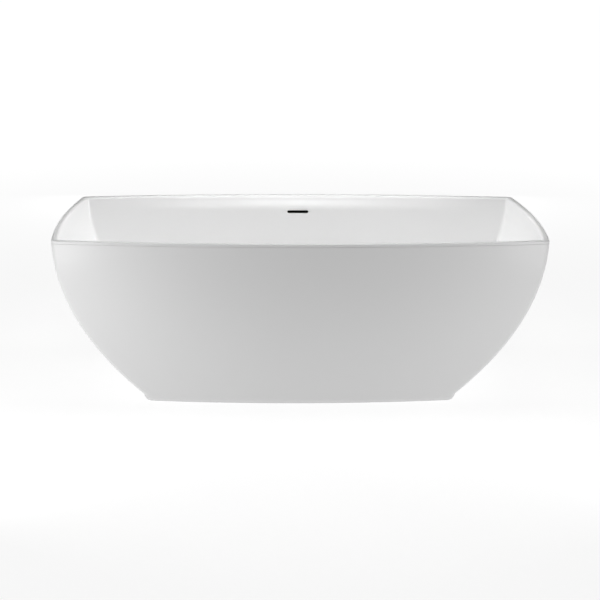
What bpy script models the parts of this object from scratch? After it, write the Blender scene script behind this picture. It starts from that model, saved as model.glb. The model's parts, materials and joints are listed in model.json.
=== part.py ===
"""Freestanding acrylic bathtub, modelled as the pieces that it is built from.

Units are metres. +Z is up, X runs along the tub, and -Y is its front. The origin is on the floor, at the
centre of the tub's outline.
"""

import math
from collections import namedtuple

import bmesh
import bpy
from mathutils import Matrix, Vector

# Overall form
HEIGHT = 0.600
RIM_HALF_LENGTH = 0.827  # to the corner where the side and end arcs cross
RIM_HALF_WIDTH = 0.352
RIM_END_BOW = 0.023
RIM_SIDE_BOW = 0.048
RIM_CORNER = 0.018
FOOT_HALF_LENGTH = 0.548
FOOT_HALF_WIDTH = 0.2775
FOOT_END_BOW = 0.016
FOOT_SIDE_BOW = 0.030
FOOT_CORNER = 0.030
FOOT_LIP_HEIGHT = 0.025
FOOT_LIP_TAPER = 0.008

# Shells
SHEET = 0.005  # acrylic with its glass-fibre backing
RIM_WIDTH = 0.020
RIM_EDGE = 0.006
LIP_BOTTOM = 0.590  # lower edge of the basin's folded lip, where the seam is
BASE_FLANGE = 0.022
GAP = 0.0003  # left between neighbouring pieces

# Basin
FLOOR_EDGE_Z = 0.134
DRAIN_Z = 0.130
WALL_LEAN = 0.006
WALL_FILLET = 0.115
WALL_POWER = 3.5
ROLL_DEPTH = 0.055
ROLL_BOW = 0.014  # how much the side wall straightens within the roll under the rim
LOWER_BOW = 0.008
INNER_CORNER_TOP = 0.010
INNER_CORNER_GROWTH = 0.055
DRAIN_HOLE_R = 0.026

# Outline sampling, for a quarter of the plan
SIDE_STEPS = 5
CORNER_STEPS = 3
END_STEPS = 3

# Overflow
SLOT_Z = 0.537
SLOT_WIDTH = 0.082
SLOT_HEIGHT = 0.011
OVERFLOW_TILT = math.radians(5.5)
LINER_WALL = 0.0012
LINER_PROUD = 0.0028  # how far the sleeve reaches out behind the wall
GASKET_STANDOFF = 0.0010
GASKET_THICK = 0.0027
GASKET_LENGTH = 0.104
GASKET_HEIGHT = 0.028
CHAMBER_DEPTH = 0.018
CHAMBER_HALF_WIDTH = 0.058
CHAMBER_ABOVE = 0.018
CHAMBER_BELOW = 0.060
CHAMBER_WALL = 0.002
CHAMBER_FRONT = GASKET_STANDOFF + GASKET_THICK + GAP
SPIGOT_Y = CHAMBER_FRONT + CHAMBER_DEPTH / 2 + 0.001
SPIGOT_R = 0.008
SPIGOT_BORE_R = 0.0063
SPIGOT_LENGTH = 0.022
HOSE_R = 0.0112
HOSE_WALL = 0.0022

# Base frame
BOARD_HALF_LENGTH = 0.470
BOARD_HALF_WIDTH = 0.165
BOARD_TOP = 0.1245
BOARD_THICK = 0.015
BOARD_HOLE_R = 0.045
TUBE = 0.025
TUBE_WALL = 0.0015
RAIL_Y = 0.140
RAIL_HALF_LENGTH = 0.470
CROSS_X = 0.380
CROSS_HALF_LENGTH = 0.235
BOLT_R = 0.0038
SCREW_X = 0.220
SCREW_R = 0.0021
BRACKET_THICK = 0.002
BRACKET_WIDTH = 0.030
BRACKET_Y = 0.261  # its upright leg
BRACKET_REACH = 0.016  # its upper leg, along the cross member
BRACKET_FOOT = 0.012
BRACKET_SCREW_Y = 0.2275

# Levelling feet
FOOT_Y = 0.205
PAD_R = 0.025
PAD_HEIGHT = 0.010
STUD_R = 0.0059
STUD_TOP = 0.100
STUD_HEX_R = 0.011
STUD_HEX_HEIGHT = 0.008
LOCK_NUT_R = 0.011
LOCK_NUT_HEIGHT = 0.010

# Waste
FLANGE_R = 0.035
GASKET_STACK = 0.0033  # the lower gasket with the gap above it
THREAD_R = 0.024
THREAD_BORE_R = 0.0205
THREAD_BOTTOM = 0.0935
BRIDGE_BOTTOM = 0.097
BRIDGE_TOP = 0.103
BRIDGE_BAR = 0.004
HUB_R = 0.0085
TEE_R = 0.027
TEE_TOP = 0.106
TEE_NECK_R = 0.023
TEE_BOTTOM = 0.040
TEE_BORE_R = 0.0185
BRANCH_Z = 0.066
BRANCH_END_Y = 0.065
TAIL_R = 0.020
TAIL_BORE_R = 0.0182
TAIL_BOTTOM = 0.012

# Stopper
CAP_R = 0.031
CAP_BOTTOM = 0.135
CAP_HEIGHT = 0.0065
STEM_R = 0.004
STEM_BOTTOM = 0.1035
CARTRIDGE_R = 0.006
CARTRIDGE_BOTTOM = 0.088
CARTRIDGE_TOP = 0.118

FLANGE_SEAT = DRAIN_Z + 0.0016
RAIL_TOP = BOARD_TOP - BOARD_THICK - GAP
RAIL_BOTTOM = RAIL_TOP - TUBE
CROSS_TOP = RAIL_BOTTOM - GAP
CROSS_BOTTOM = CROSS_TOP - TUBE

Plan = namedtuple("Plan", "half_length half_width end_bow side_bow corner")

# name: (colour, roughness, metallic)
FINISHES = {
    "acrylic": ((0.90, 0.90, 0.90, 1), 0.12, 0.0),
    "adhesive": ((0.80, 0.79, 0.74, 1), 0.60, 0.0),
    "board": ((0.55, 0.42, 0.28, 1), 0.80, 0.0),
    "galvanised": ((0.56, 0.58, 0.60, 1), 0.42, 1.0),
    "zinc": ((0.66, 0.67, 0.68, 1), 0.30, 1.0),
    "chrome": ((0.80, 0.81, 0.82, 1), 0.08, 1.0),
    "brass": ((0.78, 0.60, 0.28, 1), 0.28, 1.0),
    "spring_steel": ((0.50, 0.51, 0.52, 1), 0.30, 1.0),
    "black_plastic": ((0.012, 0.012, 0.013, 1), 0.45, 0.0),
    "white_plastic": ((0.82, 0.82, 0.80, 1), 0.40, 0.0),
    "grey_hose": ((0.55, 0.56, 0.57, 1), 0.50, 0.0),
    "rubber": ((0.03, 0.03, 0.03, 1), 0.85, 0.0),
}


# Scene and helpers


def clear_scene():
    for obj in list(bpy.data.objects):
        bpy.data.objects.remove(obj, do_unlink=True)


def new_collection(name, hidden=False):
    collection = bpy.data.collections.new(name)
    bpy.context.scene.collection.children.link(collection)
    collection.hide_render = hidden
    return collection


def material(name):
    """The named finish as a Principled material, made once."""
    found = bpy.data.materials.get(name)
    if found:
        return found
    colour, roughness, metallic = FINISHES[name]
    made = bpy.data.materials.new(name)
    made.use_nodes = True
    shader = made.node_tree.nodes["Principled BSDF"]
    shader.inputs["Base Color"].default_value = colour
    shader.inputs["Roughness"].default_value = roughness
    shader.inputs["Metallic"].default_value = metallic
    return made


def add(name, data, finish, at=(0, 0, 0), parent=None):
    """A visible object of the tub."""
    obj = bpy.data.objects.new(name, data)
    PARTS.objects.link(obj)
    obj.location = at
    obj.parent = parent
    if not data.materials:
        data.materials.append(material(finish))
    return obj


def empty(name, at, tilt=0.0):
    obj = bpy.data.objects.new(name, None)
    PARTS.objects.link(obj)
    obj.location = at
    obj.rotation_euler = (tilt, 0, 0)
    return obj


def cutter(name, data, at=(0, 0, 0), parent=None):
    obj = bpy.data.objects.new(name, data)
    CUTTERS.objects.link(obj)
    obj.location = at
    obj.parent = parent
    obj.hide_render = True
    obj.display_type = "WIRE"
    return obj


def boolean(obj, other, operation="DIFFERENCE"):
    modifier = obj.modifiers.new(f"{operation.lower()}_{other.name}", "BOOLEAN")
    modifier.operation = operation
    modifier.object = other
    modifier.solver = "EXACT"


def finished_mesh(obj, helpers=()):
    """The evaluated mesh of an object, which is removed with its helpers."""
    bpy.context.view_layer.update()
    graph = bpy.context.evaluated_depsgraph_get()
    mesh = bpy.data.meshes.new_from_object(obj.evaluated_get(graph))
    for used in (obj, *helpers):
        bpy.data.objects.remove(used, do_unlink=True)
    return mesh


def smooth(mesh, degrees=30):
    mesh.shade_smooth()
    mesh.set_sharp_from_angle(angle=math.radians(degrees))


def mesh_from(name, make):
    """A mesh built by make(bm)."""
    bm = bmesh.new()
    make(bm)
    mesh = bpy.data.meshes.new(name)
    bm.to_mesh(mesh)
    bm.free()
    return mesh


def box_mesh(name, size):
    def make(bm):
        bmesh.ops.create_cube(bm, size=1, matrix=Matrix.Diagonal((*size, 1)))

    return mesh_from(name, make)


def rod_mesh(name, radius, bottom, top, sides=24, axis="Z"):
    """A cylinder from bottom to top along Z, or along Y."""

    def make(bm):
        middle = Vector((0, 0, (bottom + top) / 2))
        turn = Matrix.Rotation(math.radians(-90), 4, "X") if axis == "Y" else Matrix()
        bmesh.ops.create_cone(
            bm, cap_ends=True, segments=sides, radius1=radius, radius2=radius, depth=top - bottom,
            matrix=turn @ Matrix.Translation(middle),
        )

    return mesh_from(name, make)


def tube_mesh(name, length, axis):
    """A square steel tube, open at both ends, as a surface for Solidify."""

    def make(bm):
        size = [TUBE, TUBE, TUBE]
        size[axis] = length
        bmesh.ops.create_cube(bm, size=1, matrix=Matrix.Diagonal((*size, 1)))
        ends = [face for face in bm.faces if abs(face.normal[axis]) > 0.9]
        bmesh.ops.delete(bm, geom=ends, context="FACES_ONLY")

    return mesh_from(name, make)


def bevel(obj, width, segments=2):
    modifier = obj.modifiers.new("edges", "BEVEL")
    modifier.width = width
    modifier.segments = segments
    modifier.limit_method = "ANGLE"


def solidify(obj, thickness):
    modifier = obj.modifiers.new("sheet", "SOLIDIFY")
    modifier.thickness = thickness
    modifier.offset = -1
    modifier.use_even_offset = True
    modifier.use_quality_normals = True


def turned(name, profile, finish, at=(0, 0, 0), closed=True, steps=32, parent=None):
    """A turned piece: (radius, z) points run down the outer side, then back up the bore if it has one."""
    mesh = bpy.data.meshes.new(name)
    count = len(profile)
    edges = [(i, i + 1) for i in range(count - 1)]
    if closed:
        edges.append((count - 1, 0))
    mesh.from_pydata([(r, 0, z) for r, z in profile], edges, [])
    obj = add(name, mesh, finish, at, parent)
    screw = obj.modifiers.new("turn", "SCREW")
    screw.steps = steps
    screw.render_steps = steps
    screw.use_merge_vertices = True
    screw.merge_threshold = 0.00001
    screw.use_smooth_shade = True
    return obj


def ring_profile(inner, outer, bottom, top, edge=0.0):
    """The closed profile of a ring, with its outer edges cut by a small chamfer."""
    if not edge:
        return [(outer, top), (outer, bottom), (inner, bottom), (inner, top)]
    return [
        (outer - edge, top), (outer, top - edge), (outer, bottom + edge), (outer - edge, bottom),
        (inner, bottom), (inner, top),
    ]


def hexagon_with_hole(name, radius, hole, bottom, top):
    nut = cutter(name, rod_mesh(name, radius, bottom, top, sides=6))
    bore = cutter(name + "_bore", rod_mesh(name + "_bore", hole, bottom - 0.01, top + 0.01))
    boolean(nut, bore)
    return finished_mesh(nut, [bore])


# Plan outlines


def arc_radius(half_chord, bow):
    return (half_chord**2 + bow**2) / (2 * bow)


def shrink(plan, inset, corner):
    return plan._replace(
        half_length=plan.half_length - inset, half_width=plan.half_width - inset, corner=corner
    )


def mix(low, high, share):
    return low + (high - low) * share


def outer_plan(z):
    """The skirt's outline at a height: it swells from the foot as a parabola, up to the rim."""
    if z < FOOT_LIP_HEIGHT:
        inset = FOOT_LIP_TAPER * (1 - z / FOOT_LIP_HEIGHT)
        foot = Plan(FOOT_HALF_LENGTH, FOOT_HALF_WIDTH, FOOT_END_BOW, FOOT_SIDE_BOW, FOOT_CORNER)
        return shrink(foot, inset, FOOT_CORNER)
    below_rim = (HEIGHT - z) / (HEIGHT - FOOT_LIP_HEIGHT)
    share = 1 - below_rim**2
    return Plan(
        mix(FOOT_HALF_LENGTH, RIM_HALF_LENGTH, share),
        mix(FOOT_HALF_WIDTH, RIM_HALF_WIDTH, share),
        mix(FOOT_END_BOW, RIM_END_BOW, share),
        mix(FOOT_SIDE_BOW, RIM_SIDE_BOW, share),
        mix(FOOT_CORNER, RIM_CORNER, share),
    )


def inner_plan(depth_share):
    """The basin's outline, from the rim (0) to the edge of its floor (1)."""
    z = mix(HEIGHT, FLOOR_EDGE_Z, depth_share)
    fillet = 1 - (1 - depth_share**WALL_POWER) ** (1 / WALL_POWER)
    inset = RIM_WIDTH + WALL_LEAN * depth_share + WALL_FILLET * fillet
    roll = min((HEIGHT - z) / ROLL_DEPTH, 1)
    straighter = ROLL_BOW * roll * roll * (3 - 2 * roll) + LOWER_BOW * depth_share
    corner = INNER_CORNER_TOP + INNER_CORNER_GROWTH * depth_share**2
    plan = shrink(outer_plan(z), inset, corner)
    return plan._replace(side_bow=plan.side_bow - straighter)


def quarter_outline(plan):
    """Points of the plan from the middle of the front to the middle of the +X end."""
    side_r = arc_radius(plan.half_length, plan.side_bow)
    end_r = arc_radius(plan.half_width, plan.end_bow)
    side_centre = Vector((0, side_r - plan.half_width - plan.side_bow))
    end_centre = Vector((plan.half_length + plan.end_bow - end_r, 0))
    corner = corner_centre(side_centre, side_r - plan.corner, end_centre, end_r - plan.corner)

    side_angle = direction(side_centre, corner)
    end_angle = direction(end_centre, corner)
    points = arc(side_centre, side_r, -math.pi / 2, side_angle, SIDE_STEPS)
    points += arc(corner, plan.corner, side_angle, end_angle, CORNER_STEPS)[1:]
    points += arc(end_centre, end_r, end_angle, 0, END_STEPS)[1:]
    points[0].x = 0
    points[-1].y = 0
    return points


def corner_centre(centre_a, radius_a, centre_b, radius_b):
    """Where two circles cross, at +X and -Y."""
    apart = centre_b - centre_a
    distance = apart.length
    along = (distance**2 + radius_a**2 - radius_b**2) / (2 * distance)
    off = math.sqrt(radius_a**2 - along**2)
    unit = apart / distance
    across = Vector((-unit.y, unit.x))
    crossings = [centre_a + unit * along + across * off * side for side in (1, -1)]
    return max(crossings, key=lambda point: point.x - point.y)


def direction(start, end):
    return math.atan2(end.y - start.y, end.x - start.x)


def arc(centre, radius, start, end, steps):
    angles = [mix(start, end, i / steps) for i in range(steps + 1)]
    return [centre + Vector((math.cos(a), math.sin(a))) * radius for a in angles]


def level(plan, z):
    return [(point.x, point.y, z) for point in quarter_outline(plan)]


def quarter_surface(name, rows, finish, inward):
    """An open surface through rows of points, mirrored to all four quarters and given its thickness."""

    def make(bm):
        grid = [[bm.verts.new(point) for point in row] for row in rows]
        for upper, lower in zip(grid, grid[1:]):
            for j in range(len(upper) - 1):
                corners = [upper[j], upper[j + 1], lower[j + 1], lower[j]]
                bm.faces.new(corners if inward else corners[::-1])

    mesh = mesh_from(name, make)
    obj = add(name, mesh, finish)
    mirror = obj.modifiers.new("quarters", "MIRROR")
    mirror.use_axis = (True, True, False)
    mirror.merge_threshold = 0.00005
    return obj


# Shells


def basin_rows():
    """From the folded lip, over the rim, down the wall and across the floor to the waste hole."""
    rim = outer_plan(HEIGHT)
    rows = [level(outer_plan(LIP_BOTTOM), LIP_BOTTOM)]
    for degrees in (0, 45, 90):
        turn = math.radians(degrees)
        inset = RIM_EDGE * (1 - math.cos(turn))
        z = HEIGHT - RIM_EDGE * (1 - math.sin(turn))
        rows.append(level(shrink(rim, inset, RIM_CORNER - inset), z))
    for degrees in (90, 45):
        turn = math.radians(degrees)
        inset = RIM_WIDTH - RIM_EDGE * (1 - math.cos(turn))
        z = HEIGHT - RIM_EDGE * (1 - math.sin(turn))
        rows.append(level(shrink(rim, inset, INNER_CORNER_TOP), z))

    upper = [0.013, 0.05, 0.085, 0.118, 0.26]
    lower = [math.sin(math.radians(angle)) ** (2 / WALL_POWER) for angle in range(18, 91, 12)]
    for depth_share in upper + lower:
        rows.append(level(inner_plan(depth_share), mix(HEIGHT, FLOOR_EDGE_Z, depth_share)))

    floor_edge = rows[-1]
    last = len(floor_edge) - 1
    for share in (0.4, 0.8, 1):
        row = []
        for j, (x, y, z) in enumerate(floor_edge):
            angle = math.radians(-90 + 90 * j / last)
            hole_x = DRAIN_HOLE_R * math.cos(angle) if j else 0
            hole_y = DRAIN_HOLE_R * math.sin(angle) if j < last else 0
            row.append((mix(x, hole_x, share), mix(y, hole_y, share), mix(z, DRAIN_Z, share)))
        rows.append(row)
    return rows


def stadium(name, width, height, half_depth):
    """A 2D curve with round ends in the local XZ plane, extruded both ways along Y."""
    curve = bpy.data.curves.new(name, "CURVE")
    curve.dimensions = "2D"
    curve.fill_mode = "BOTH"
    curve.extrude = half_depth
    add_stadium(curve, width, height)
    return curve


def add_stadium(curve, width, height):
    steps = 8
    radius = height / 2
    middle = width / 2 - radius
    points = []
    for side, start in ((1, -90), (-1, 90)):
        for i in range(steps + 1):
            angle = math.radians(start + 180 * i / steps)
            points.append((side * middle + radius * math.cos(angle), radius * math.sin(angle)))
    spline = curve.splines.new("POLY")
    spline.points.add(len(points) - 1)
    for point, (x, z) in zip(spline.points, points):
        point.co = (x, z, 0, 1)
    spline.use_cyclic_u = True


def stadium_mesh(name, width, height, half_depth, hole=None):
    """The stadium as a mesh, upright, with an optional smaller (width, height) stadium left open."""
    curve = stadium(name, width, height, half_depth)
    if hole:
        add_stadium(curve, *hole)
    helper = cutter(name, curve)
    mesh = finished_mesh(helper)
    bm = bmesh.new()
    bm.from_mesh(mesh)
    bmesh.ops.remove_doubles(bm, verts=bm.verts, dist=0.000001)
    bmesh.ops.rotate(bm, verts=bm.verts, matrix=Matrix.Rotation(math.radians(90), 3, "X"))
    bmesh.ops.recalc_face_normals(bm, faces=bm.faces)
    bm.to_mesh(mesh)
    bm.free()
    return mesh


def basin_shell():
    basin = quarter_surface("basin_shell", basin_rows(), "acrylic", inward=True)
    solidify(basin, SHEET)
    slot = stadium_mesh("slot_cutter", SLOT_WIDTH, SLOT_HEIGHT, 0.02)
    boolean(basin, cutter("slot_cutter", slot, (0, wall_back_y(SLOT_Z), SLOT_Z)))
    smooth(basin.data)
    return basin


def outer_skirt():
    """From the seam under the rim down to the foot, then turned in as the flange that it stands on."""
    rows = [level(outer_plan(z), z) for z in skirt_levels()]
    foot = outer_plan(0)
    for degrees in (0, 45, 90):
        turn = math.radians(degrees)
        inset = RIM_EDGE * (1 - math.cos(turn))
        z = RIM_EDGE * (1 - math.sin(turn))
        rows.append(level(shrink(foot, inset, FOOT_CORNER - inset), z))
    rows.append(level(shrink(foot, BASE_FLANGE, FOOT_CORNER - BASE_FLANGE), 0))
    skirt = quarter_surface("outer_skirt", rows, "acrylic", inward=False)
    solidify(skirt, SHEET)
    smooth(skirt.data)


def skirt_levels():
    top = LIP_BOTTOM - GAP
    steps = 8
    swell = [mix(top, FOOT_LIP_HEIGHT, (i / steps) ** 1.2) for i in range(steps + 1)]
    return swell + [0.015]


def rim_bond():
    """The strip that the basin's lip and the skirt's top edge are both bonded to."""
    bottom, top = LIP_BOTTOM - 0.014, HEIGHT - SHEET - 0.0015
    near, far = SHEET + 0.0006, SHEET + 0.007
    outline = [(near, top), (near, bottom), (far, bottom), (far, top), (near, top)]
    rows = [level(shrink(outer_plan(z), inset, RIM_CORNER - min(inset, 0.012)), z) for inset, z in outline]
    strip = quarter_surface("rim_bond", rows, "adhesive", inward=False)
    weld = strip.modifiers.new("close", "WELD")
    weld.merge_threshold = 0.00001


# Overflow


def wall_back_y(z):
    """The hidden face of the far basin wall at its middle."""
    depth_share = (HEIGHT - z) / (HEIGHT - FLOOR_EDGE_Z)
    plan = inner_plan(depth_share)
    return plan.half_width + plan.side_bow + SHEET


def overflow():
    base = empty("overflow_axis", (0, wall_back_y(SLOT_Z), SLOT_Z), -OVERFLOW_TILT)
    overflow_liner()
    overflow_gasket(base)
    overflow_chamber(base)


def overflow_liner():
    """The black sleeve that lines the slot through the basin wall."""
    outer = (SLOT_WIDTH - 2 * GAP, SLOT_HEIGHT - 2 * GAP)
    hole = (outer[0] - 2 * LINER_WALL, outer[1] - 2 * LINER_WALL)
    mesh = stadium_mesh("overflow_liner", *outer, (SHEET + LINER_PROUD) / 2, hole)
    y = wall_back_y(SLOT_Z) + (LINER_PROUD - SHEET) / 2
    add("overflow_liner", mesh, "black_plastic", (0, y, SLOT_Z))


def overflow_gasket(base):
    hole = (SLOT_WIDTH + 0.004, SLOT_HEIGHT + 0.004)
    mesh = stadium_mesh("overflow_gasket", GASKET_LENGTH, GASKET_HEIGHT, GASKET_THICK / 2, hole)
    add("overflow_gasket", mesh, "rubber", (0, GASKET_STANDOFF + GASKET_THICK / 2, 0), base)


def overflow_chamber(base):
    """A flat box behind the slot, with a spigot below for the hose."""
    size = Vector((2 * CHAMBER_HALF_WIDTH, CHAMBER_DEPTH, CHAMBER_ABOVE + CHAMBER_BELOW))
    place = (0, CHAMBER_FRONT + CHAMBER_DEPTH / 2, (CHAMBER_ABOVE - CHAMBER_BELOW) / 2)
    chamber = add("overflow_chamber", box_mesh("overflow_chamber", size), "black_plastic", place, base)
    bevel(chamber, 0.003)
    inside = box_mesh("chamber_inside", size - Vector((2, 2, 2)) * CHAMBER_WALL)
    spigot_top = -CHAMBER_BELOW + CHAMBER_WALL / 2
    spigot_bottom = -CHAMBER_BELOW - SPIGOT_LENGTH
    spigot = rod_mesh("spigot", SPIGOT_R, spigot_bottom, spigot_top)
    bore = rod_mesh("spigot_bore", SPIGOT_BORE_R, spigot_bottom - 0.01, -CHAMBER_BELOW + 0.01)
    slot = stadium_mesh("chamber_slot", SLOT_WIDTH + 0.002, SLOT_HEIGHT + 0.002, 0.006)
    boolean(chamber, cutter("spigot", spigot, (0, SPIGOT_Y, 0), base), "UNION")
    boolean(chamber, cutter("chamber_inside", inside, place, base))
    boolean(chamber, cutter("spigot_bore", bore, (0, SPIGOT_Y, 0), base))
    boolean(chamber, cutter("chamber_slot", slot, (0, CHAMBER_FRONT, 0), base))


def overflow_point(z):
    """A point on the spigot's axis, z along it from the slot, in world space."""
    turn = Matrix.Rotation(-OVERFLOW_TILT, 3, "X")
    return turn @ Vector((0, SPIGOT_Y, z)) + Vector((0, wall_back_y(SLOT_Z), SLOT_Z))


def hose_route():
    """The hose's own points, from the chamber's spigot down behind the basin to the waste tee."""
    top = [overflow_point(-CHAMBER_BELOW - reach) for reach in (0.003, 0.014, 0.025, 0.036)]
    down = [(0.3655, 0.385), (0.349, 0.310), (0.329, 0.230), (0.304, 0.148)]
    under = [(0.280, 0.100), (0.238, 0.071), (0.180, BRANCH_Z), (0.100, BRANCH_Z)]
    ends = [(0.070, BRANCH_Z), (TEE_R + 0.012, BRANCH_Z)]
    return top + [Vector((0, y, z)) for y, z in down + under + ends]


def catmull_rom(points, steps):
    """A smooth curve through all the points."""
    padded = [points[0] * 2 - points[1], *points, points[-1] * 2 - points[-2]]
    smooth_points = []
    for i in range(1, len(padded) - 2):
        before, start, end, after = padded[i - 1 : i + 3]
        for j in range(steps):
            t = j / steps
            smooth_points.append(
                (2 * start + (end - before) * t + (2 * before - 5 * start + 4 * end - after) * t**2
                 + (3 * start - before - 3 * end + after) * t**3) / 2
            )
    return smooth_points + [points[-1]]


def wire(name, points, radius, sides_level, caps):
    curve = bpy.data.curves.new(name, "CURVE")
    curve.dimensions = "3D"
    curve.bevel_depth = radius
    curve.bevel_resolution = sides_level
    curve.use_fill_caps = caps
    spline = curve.splines.new("POLY")
    spline.points.add(len(points) - 1)
    for point, place in zip(spline.points, points):
        point.co = (*place, 1)
    return curve


def overflow_hose():
    curve = wire("overflow_hose", catmull_rom(hose_route(), 2), HOSE_R, 2, caps=False)
    mesh = finished_mesh(cutter("hose_route", curve))
    bm = bmesh.new()
    bm.from_mesh(mesh)
    bmesh.ops.remove_doubles(bm, verts=bm.verts, dist=0.000001)
    bm.to_mesh(mesh)
    bm.free()
    hose = add("overflow_hose", mesh, "grey_hose")
    solidify(hose, HOSE_WALL)
    smooth(mesh, 60)


def hose_clamps():
    top = overflow_point(-CHAMBER_BELOW - 0.013)
    bottom = Vector((0, 0.052, BRANCH_Z))
    along = overflow_point(-1) - overflow_point(0)
    half_width, thick = 0.0045, 0.0012
    inner = HOSE_R + GAP
    profile = ring_profile(inner, inner + thick, -half_width, half_width)
    places = (("hose_clamp_top", top, along), ("hose_clamp_bottom", bottom, Vector((0, 1, 0))))
    for name, place, axis in places:
        band = turned(name, profile, "zinc", place, steps=20)
        band.rotation_mode = "QUATERNION"
        band.rotation_quaternion = Vector((0, 0, 1)).rotation_difference(axis)
        housing = cutter(name + "_housing", box_mesh(name + "_housing", (0.006, 0.010, 0.008)))
        housing.parent = band
        housing.location = (inner + thick + 0.0022, 0, 0)
        boolean(band, housing, "UNION")


# Base frame


def base_board():
    size = (2 * BOARD_HALF_LENGTH, 2 * BOARD_HALF_WIDTH, BOARD_THICK)
    place = (0, 0, BOARD_TOP - BOARD_THICK / 2)
    board = add("base_board", box_mesh("base_board", size), "board", place)
    bevel(board, 0.002, 1)
    boolean(board, cutter("board_hole", rod_mesh("board_hole", BOARD_HOLE_R, 0.09, 0.15, sides=28)))
    for i, (x, y) in enumerate(corners_at(SCREW_X, RAIL_Y), 1):
        bottom, top = RAIL_TOP - 0.002, BOARD_TOP - 0.004
        hole = rod_mesh(f"board_screw_hole_{i}", SCREW_R + 0.0003, bottom, top, sides=8)
        boolean(board, cutter(f"board_screw_hole_{i}", hole, (x, y, 0)))


def corners_at(x, y):
    """Four places, counted round from front left."""
    return [(-x, -y), (x, -y), (x, y), (-x, y)]


def frame_rails():
    for name, side in (("rail_front", -1), ("rail_back", 1)):
        mesh = tube_mesh(name, 2 * RAIL_HALF_LENGTH, axis=0)
        rail = add(name, mesh, "galvanised", (0, side * RAIL_Y, RAIL_TOP - TUBE / 2))
        solidify(rail, TUBE_WALL)
        for i, x in enumerate((-SCREW_X, SCREW_X), 1):
            hole = rod_mesh(f"{name}_screw_hole_{i}", SCREW_R + 0.0004, 0.07, 0.13, sides=8)
            boolean(rail, cutter(f"{name}_screw_hole_{i}", hole, (x, side * RAIL_Y, 0)))
        for i, x in enumerate((-CROSS_X, CROSS_X), 1):
            hole = rod_mesh(f"{name}_bolt_hole_{i}", BOLT_R + 0.0004, 0.07, RAIL_BOTTOM + 0.01, sides=10)
            boolean(rail, cutter(f"{name}_bolt_hole_{i}", hole, (x, side * RAIL_Y, 0)))


def cross_members():
    for name, side in (("cross_member_left", -1), ("cross_member_right", 1)):
        x = side * CROSS_X
        mesh = tube_mesh(name, 2 * CROSS_HALF_LENGTH, axis=1)
        member = add(name, mesh, "galvanised", (x, 0, CROSS_TOP - TUBE / 2))
        solidify(member, TUBE_WALL)
        holes = [(y * end, radius) for end in (-1, 1) for y, radius in
                 ((FOOT_Y, STUD_R), (RAIL_Y, BOLT_R), (BRACKET_SCREW_Y, SCREW_R))]
        for i, (y, radius) in enumerate(holes, 1):
            hole = rod_mesh(f"{name}_hole_{i}", radius + 0.0004, 0.04, 0.10, sides=10)
            boolean(member, cutter(f"{name}_hole_{i}", hole, (x, y, 0)))


def skirt_brackets():
    """Bent strips from the cross members' ends down to the flange inside the skirt's foot."""
    high = CROSS_BOTTOM - GAP
    low = SHEET + GAP + BRACKET_THICK
    inner = CROSS_HALF_LENGTH - BRACKET_REACH
    outline = [(inner, high), (BRACKET_Y, high), (BRACKET_Y, low), (BRACKET_Y + BRACKET_FOOT, low)]
    half = BRACKET_WIDTH / 2

    def make(bm):
        edges = [[bm.verts.new((x, y, z)) for y, z in outline] for x in (-half, half)]
        for j in range(len(outline) - 1):
            bm.faces.new((edges[0][j], edges[1][j], edges[1][j + 1], edges[0][j + 1]))

    strip = mesh_from("skirt_bracket", make)
    screw = [
        (0, 0.010), (SCREW_R * 0.4, 0.008), (SCREW_R, 0.005), (SCREW_R, 0), (0.0042, 0),
        (0.0042, -0.0010), (0.0030, -0.0024), (0, -0.0028),
    ]
    for i, (x, y) in enumerate(corners_at(CROSS_X, 1), 1):
        bracket = add(f"skirt_bracket_{i}", strip, "galvanised", (x, 0, 0))
        bracket.rotation_euler = (0, 0, 0 if y > 0 else math.pi)
        solidify(bracket, BRACKET_THICK)
        hole = rod_mesh(f"bracket_hole_{i}", SCREW_R + 0.0004, 0.04, 0.07, sides=8)
        boolean(bracket, cutter(f"bracket_hole_{i}", hole, (x, y * BRACKET_SCREW_Y, 0)))
        place = (x, y * BRACKET_SCREW_Y, high - BRACKET_THICK - GAP)
        turned(f"bracket_screw_{i}", screw, "zinc", place, closed=False, steps=8)


def frame_bolts():
    """Hex-head bolts that hold the cross members up to the rails."""
    head = cutter("bolt", rod_mesh("bolt", 0.0075, -0.0055, 0, sides=6))
    shank = cutter("bolt_shank", rod_mesh("bolt_shank", BOLT_R, -0.003, TUBE + 0.019, sides=12))
    boolean(head, shank, "UNION")
    mesh = finished_mesh(head, [shank])
    for i, (x, y) in enumerate(corners_at(CROSS_X, RAIL_Y), 1):
        add(f"frame_bolt_{i}", mesh, "zinc", (x, y, CROSS_BOTTOM - GAP))


def board_screws():
    """Pan-head screws up through the rails into the board."""
    tip = BOARD_TOP - 0.0055 - RAIL_BOTTOM + GAP
    profile = [
        (0, tip), (SCREW_R * 0.4, tip - 0.002), (SCREW_R, tip - 0.006), (SCREW_R, 0), (0.0045, 0),
        (0.0045, -0.0012), (0.0032, -0.0028), (0, -0.0033),
    ]
    for i, (x, y) in enumerate(corners_at(SCREW_X, RAIL_Y), 1):
        turned(f"board_screw_{i}", profile, "zinc", (x, y, RAIL_BOTTOM - GAP), closed=False, steps=8)


# Levelling feet


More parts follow.
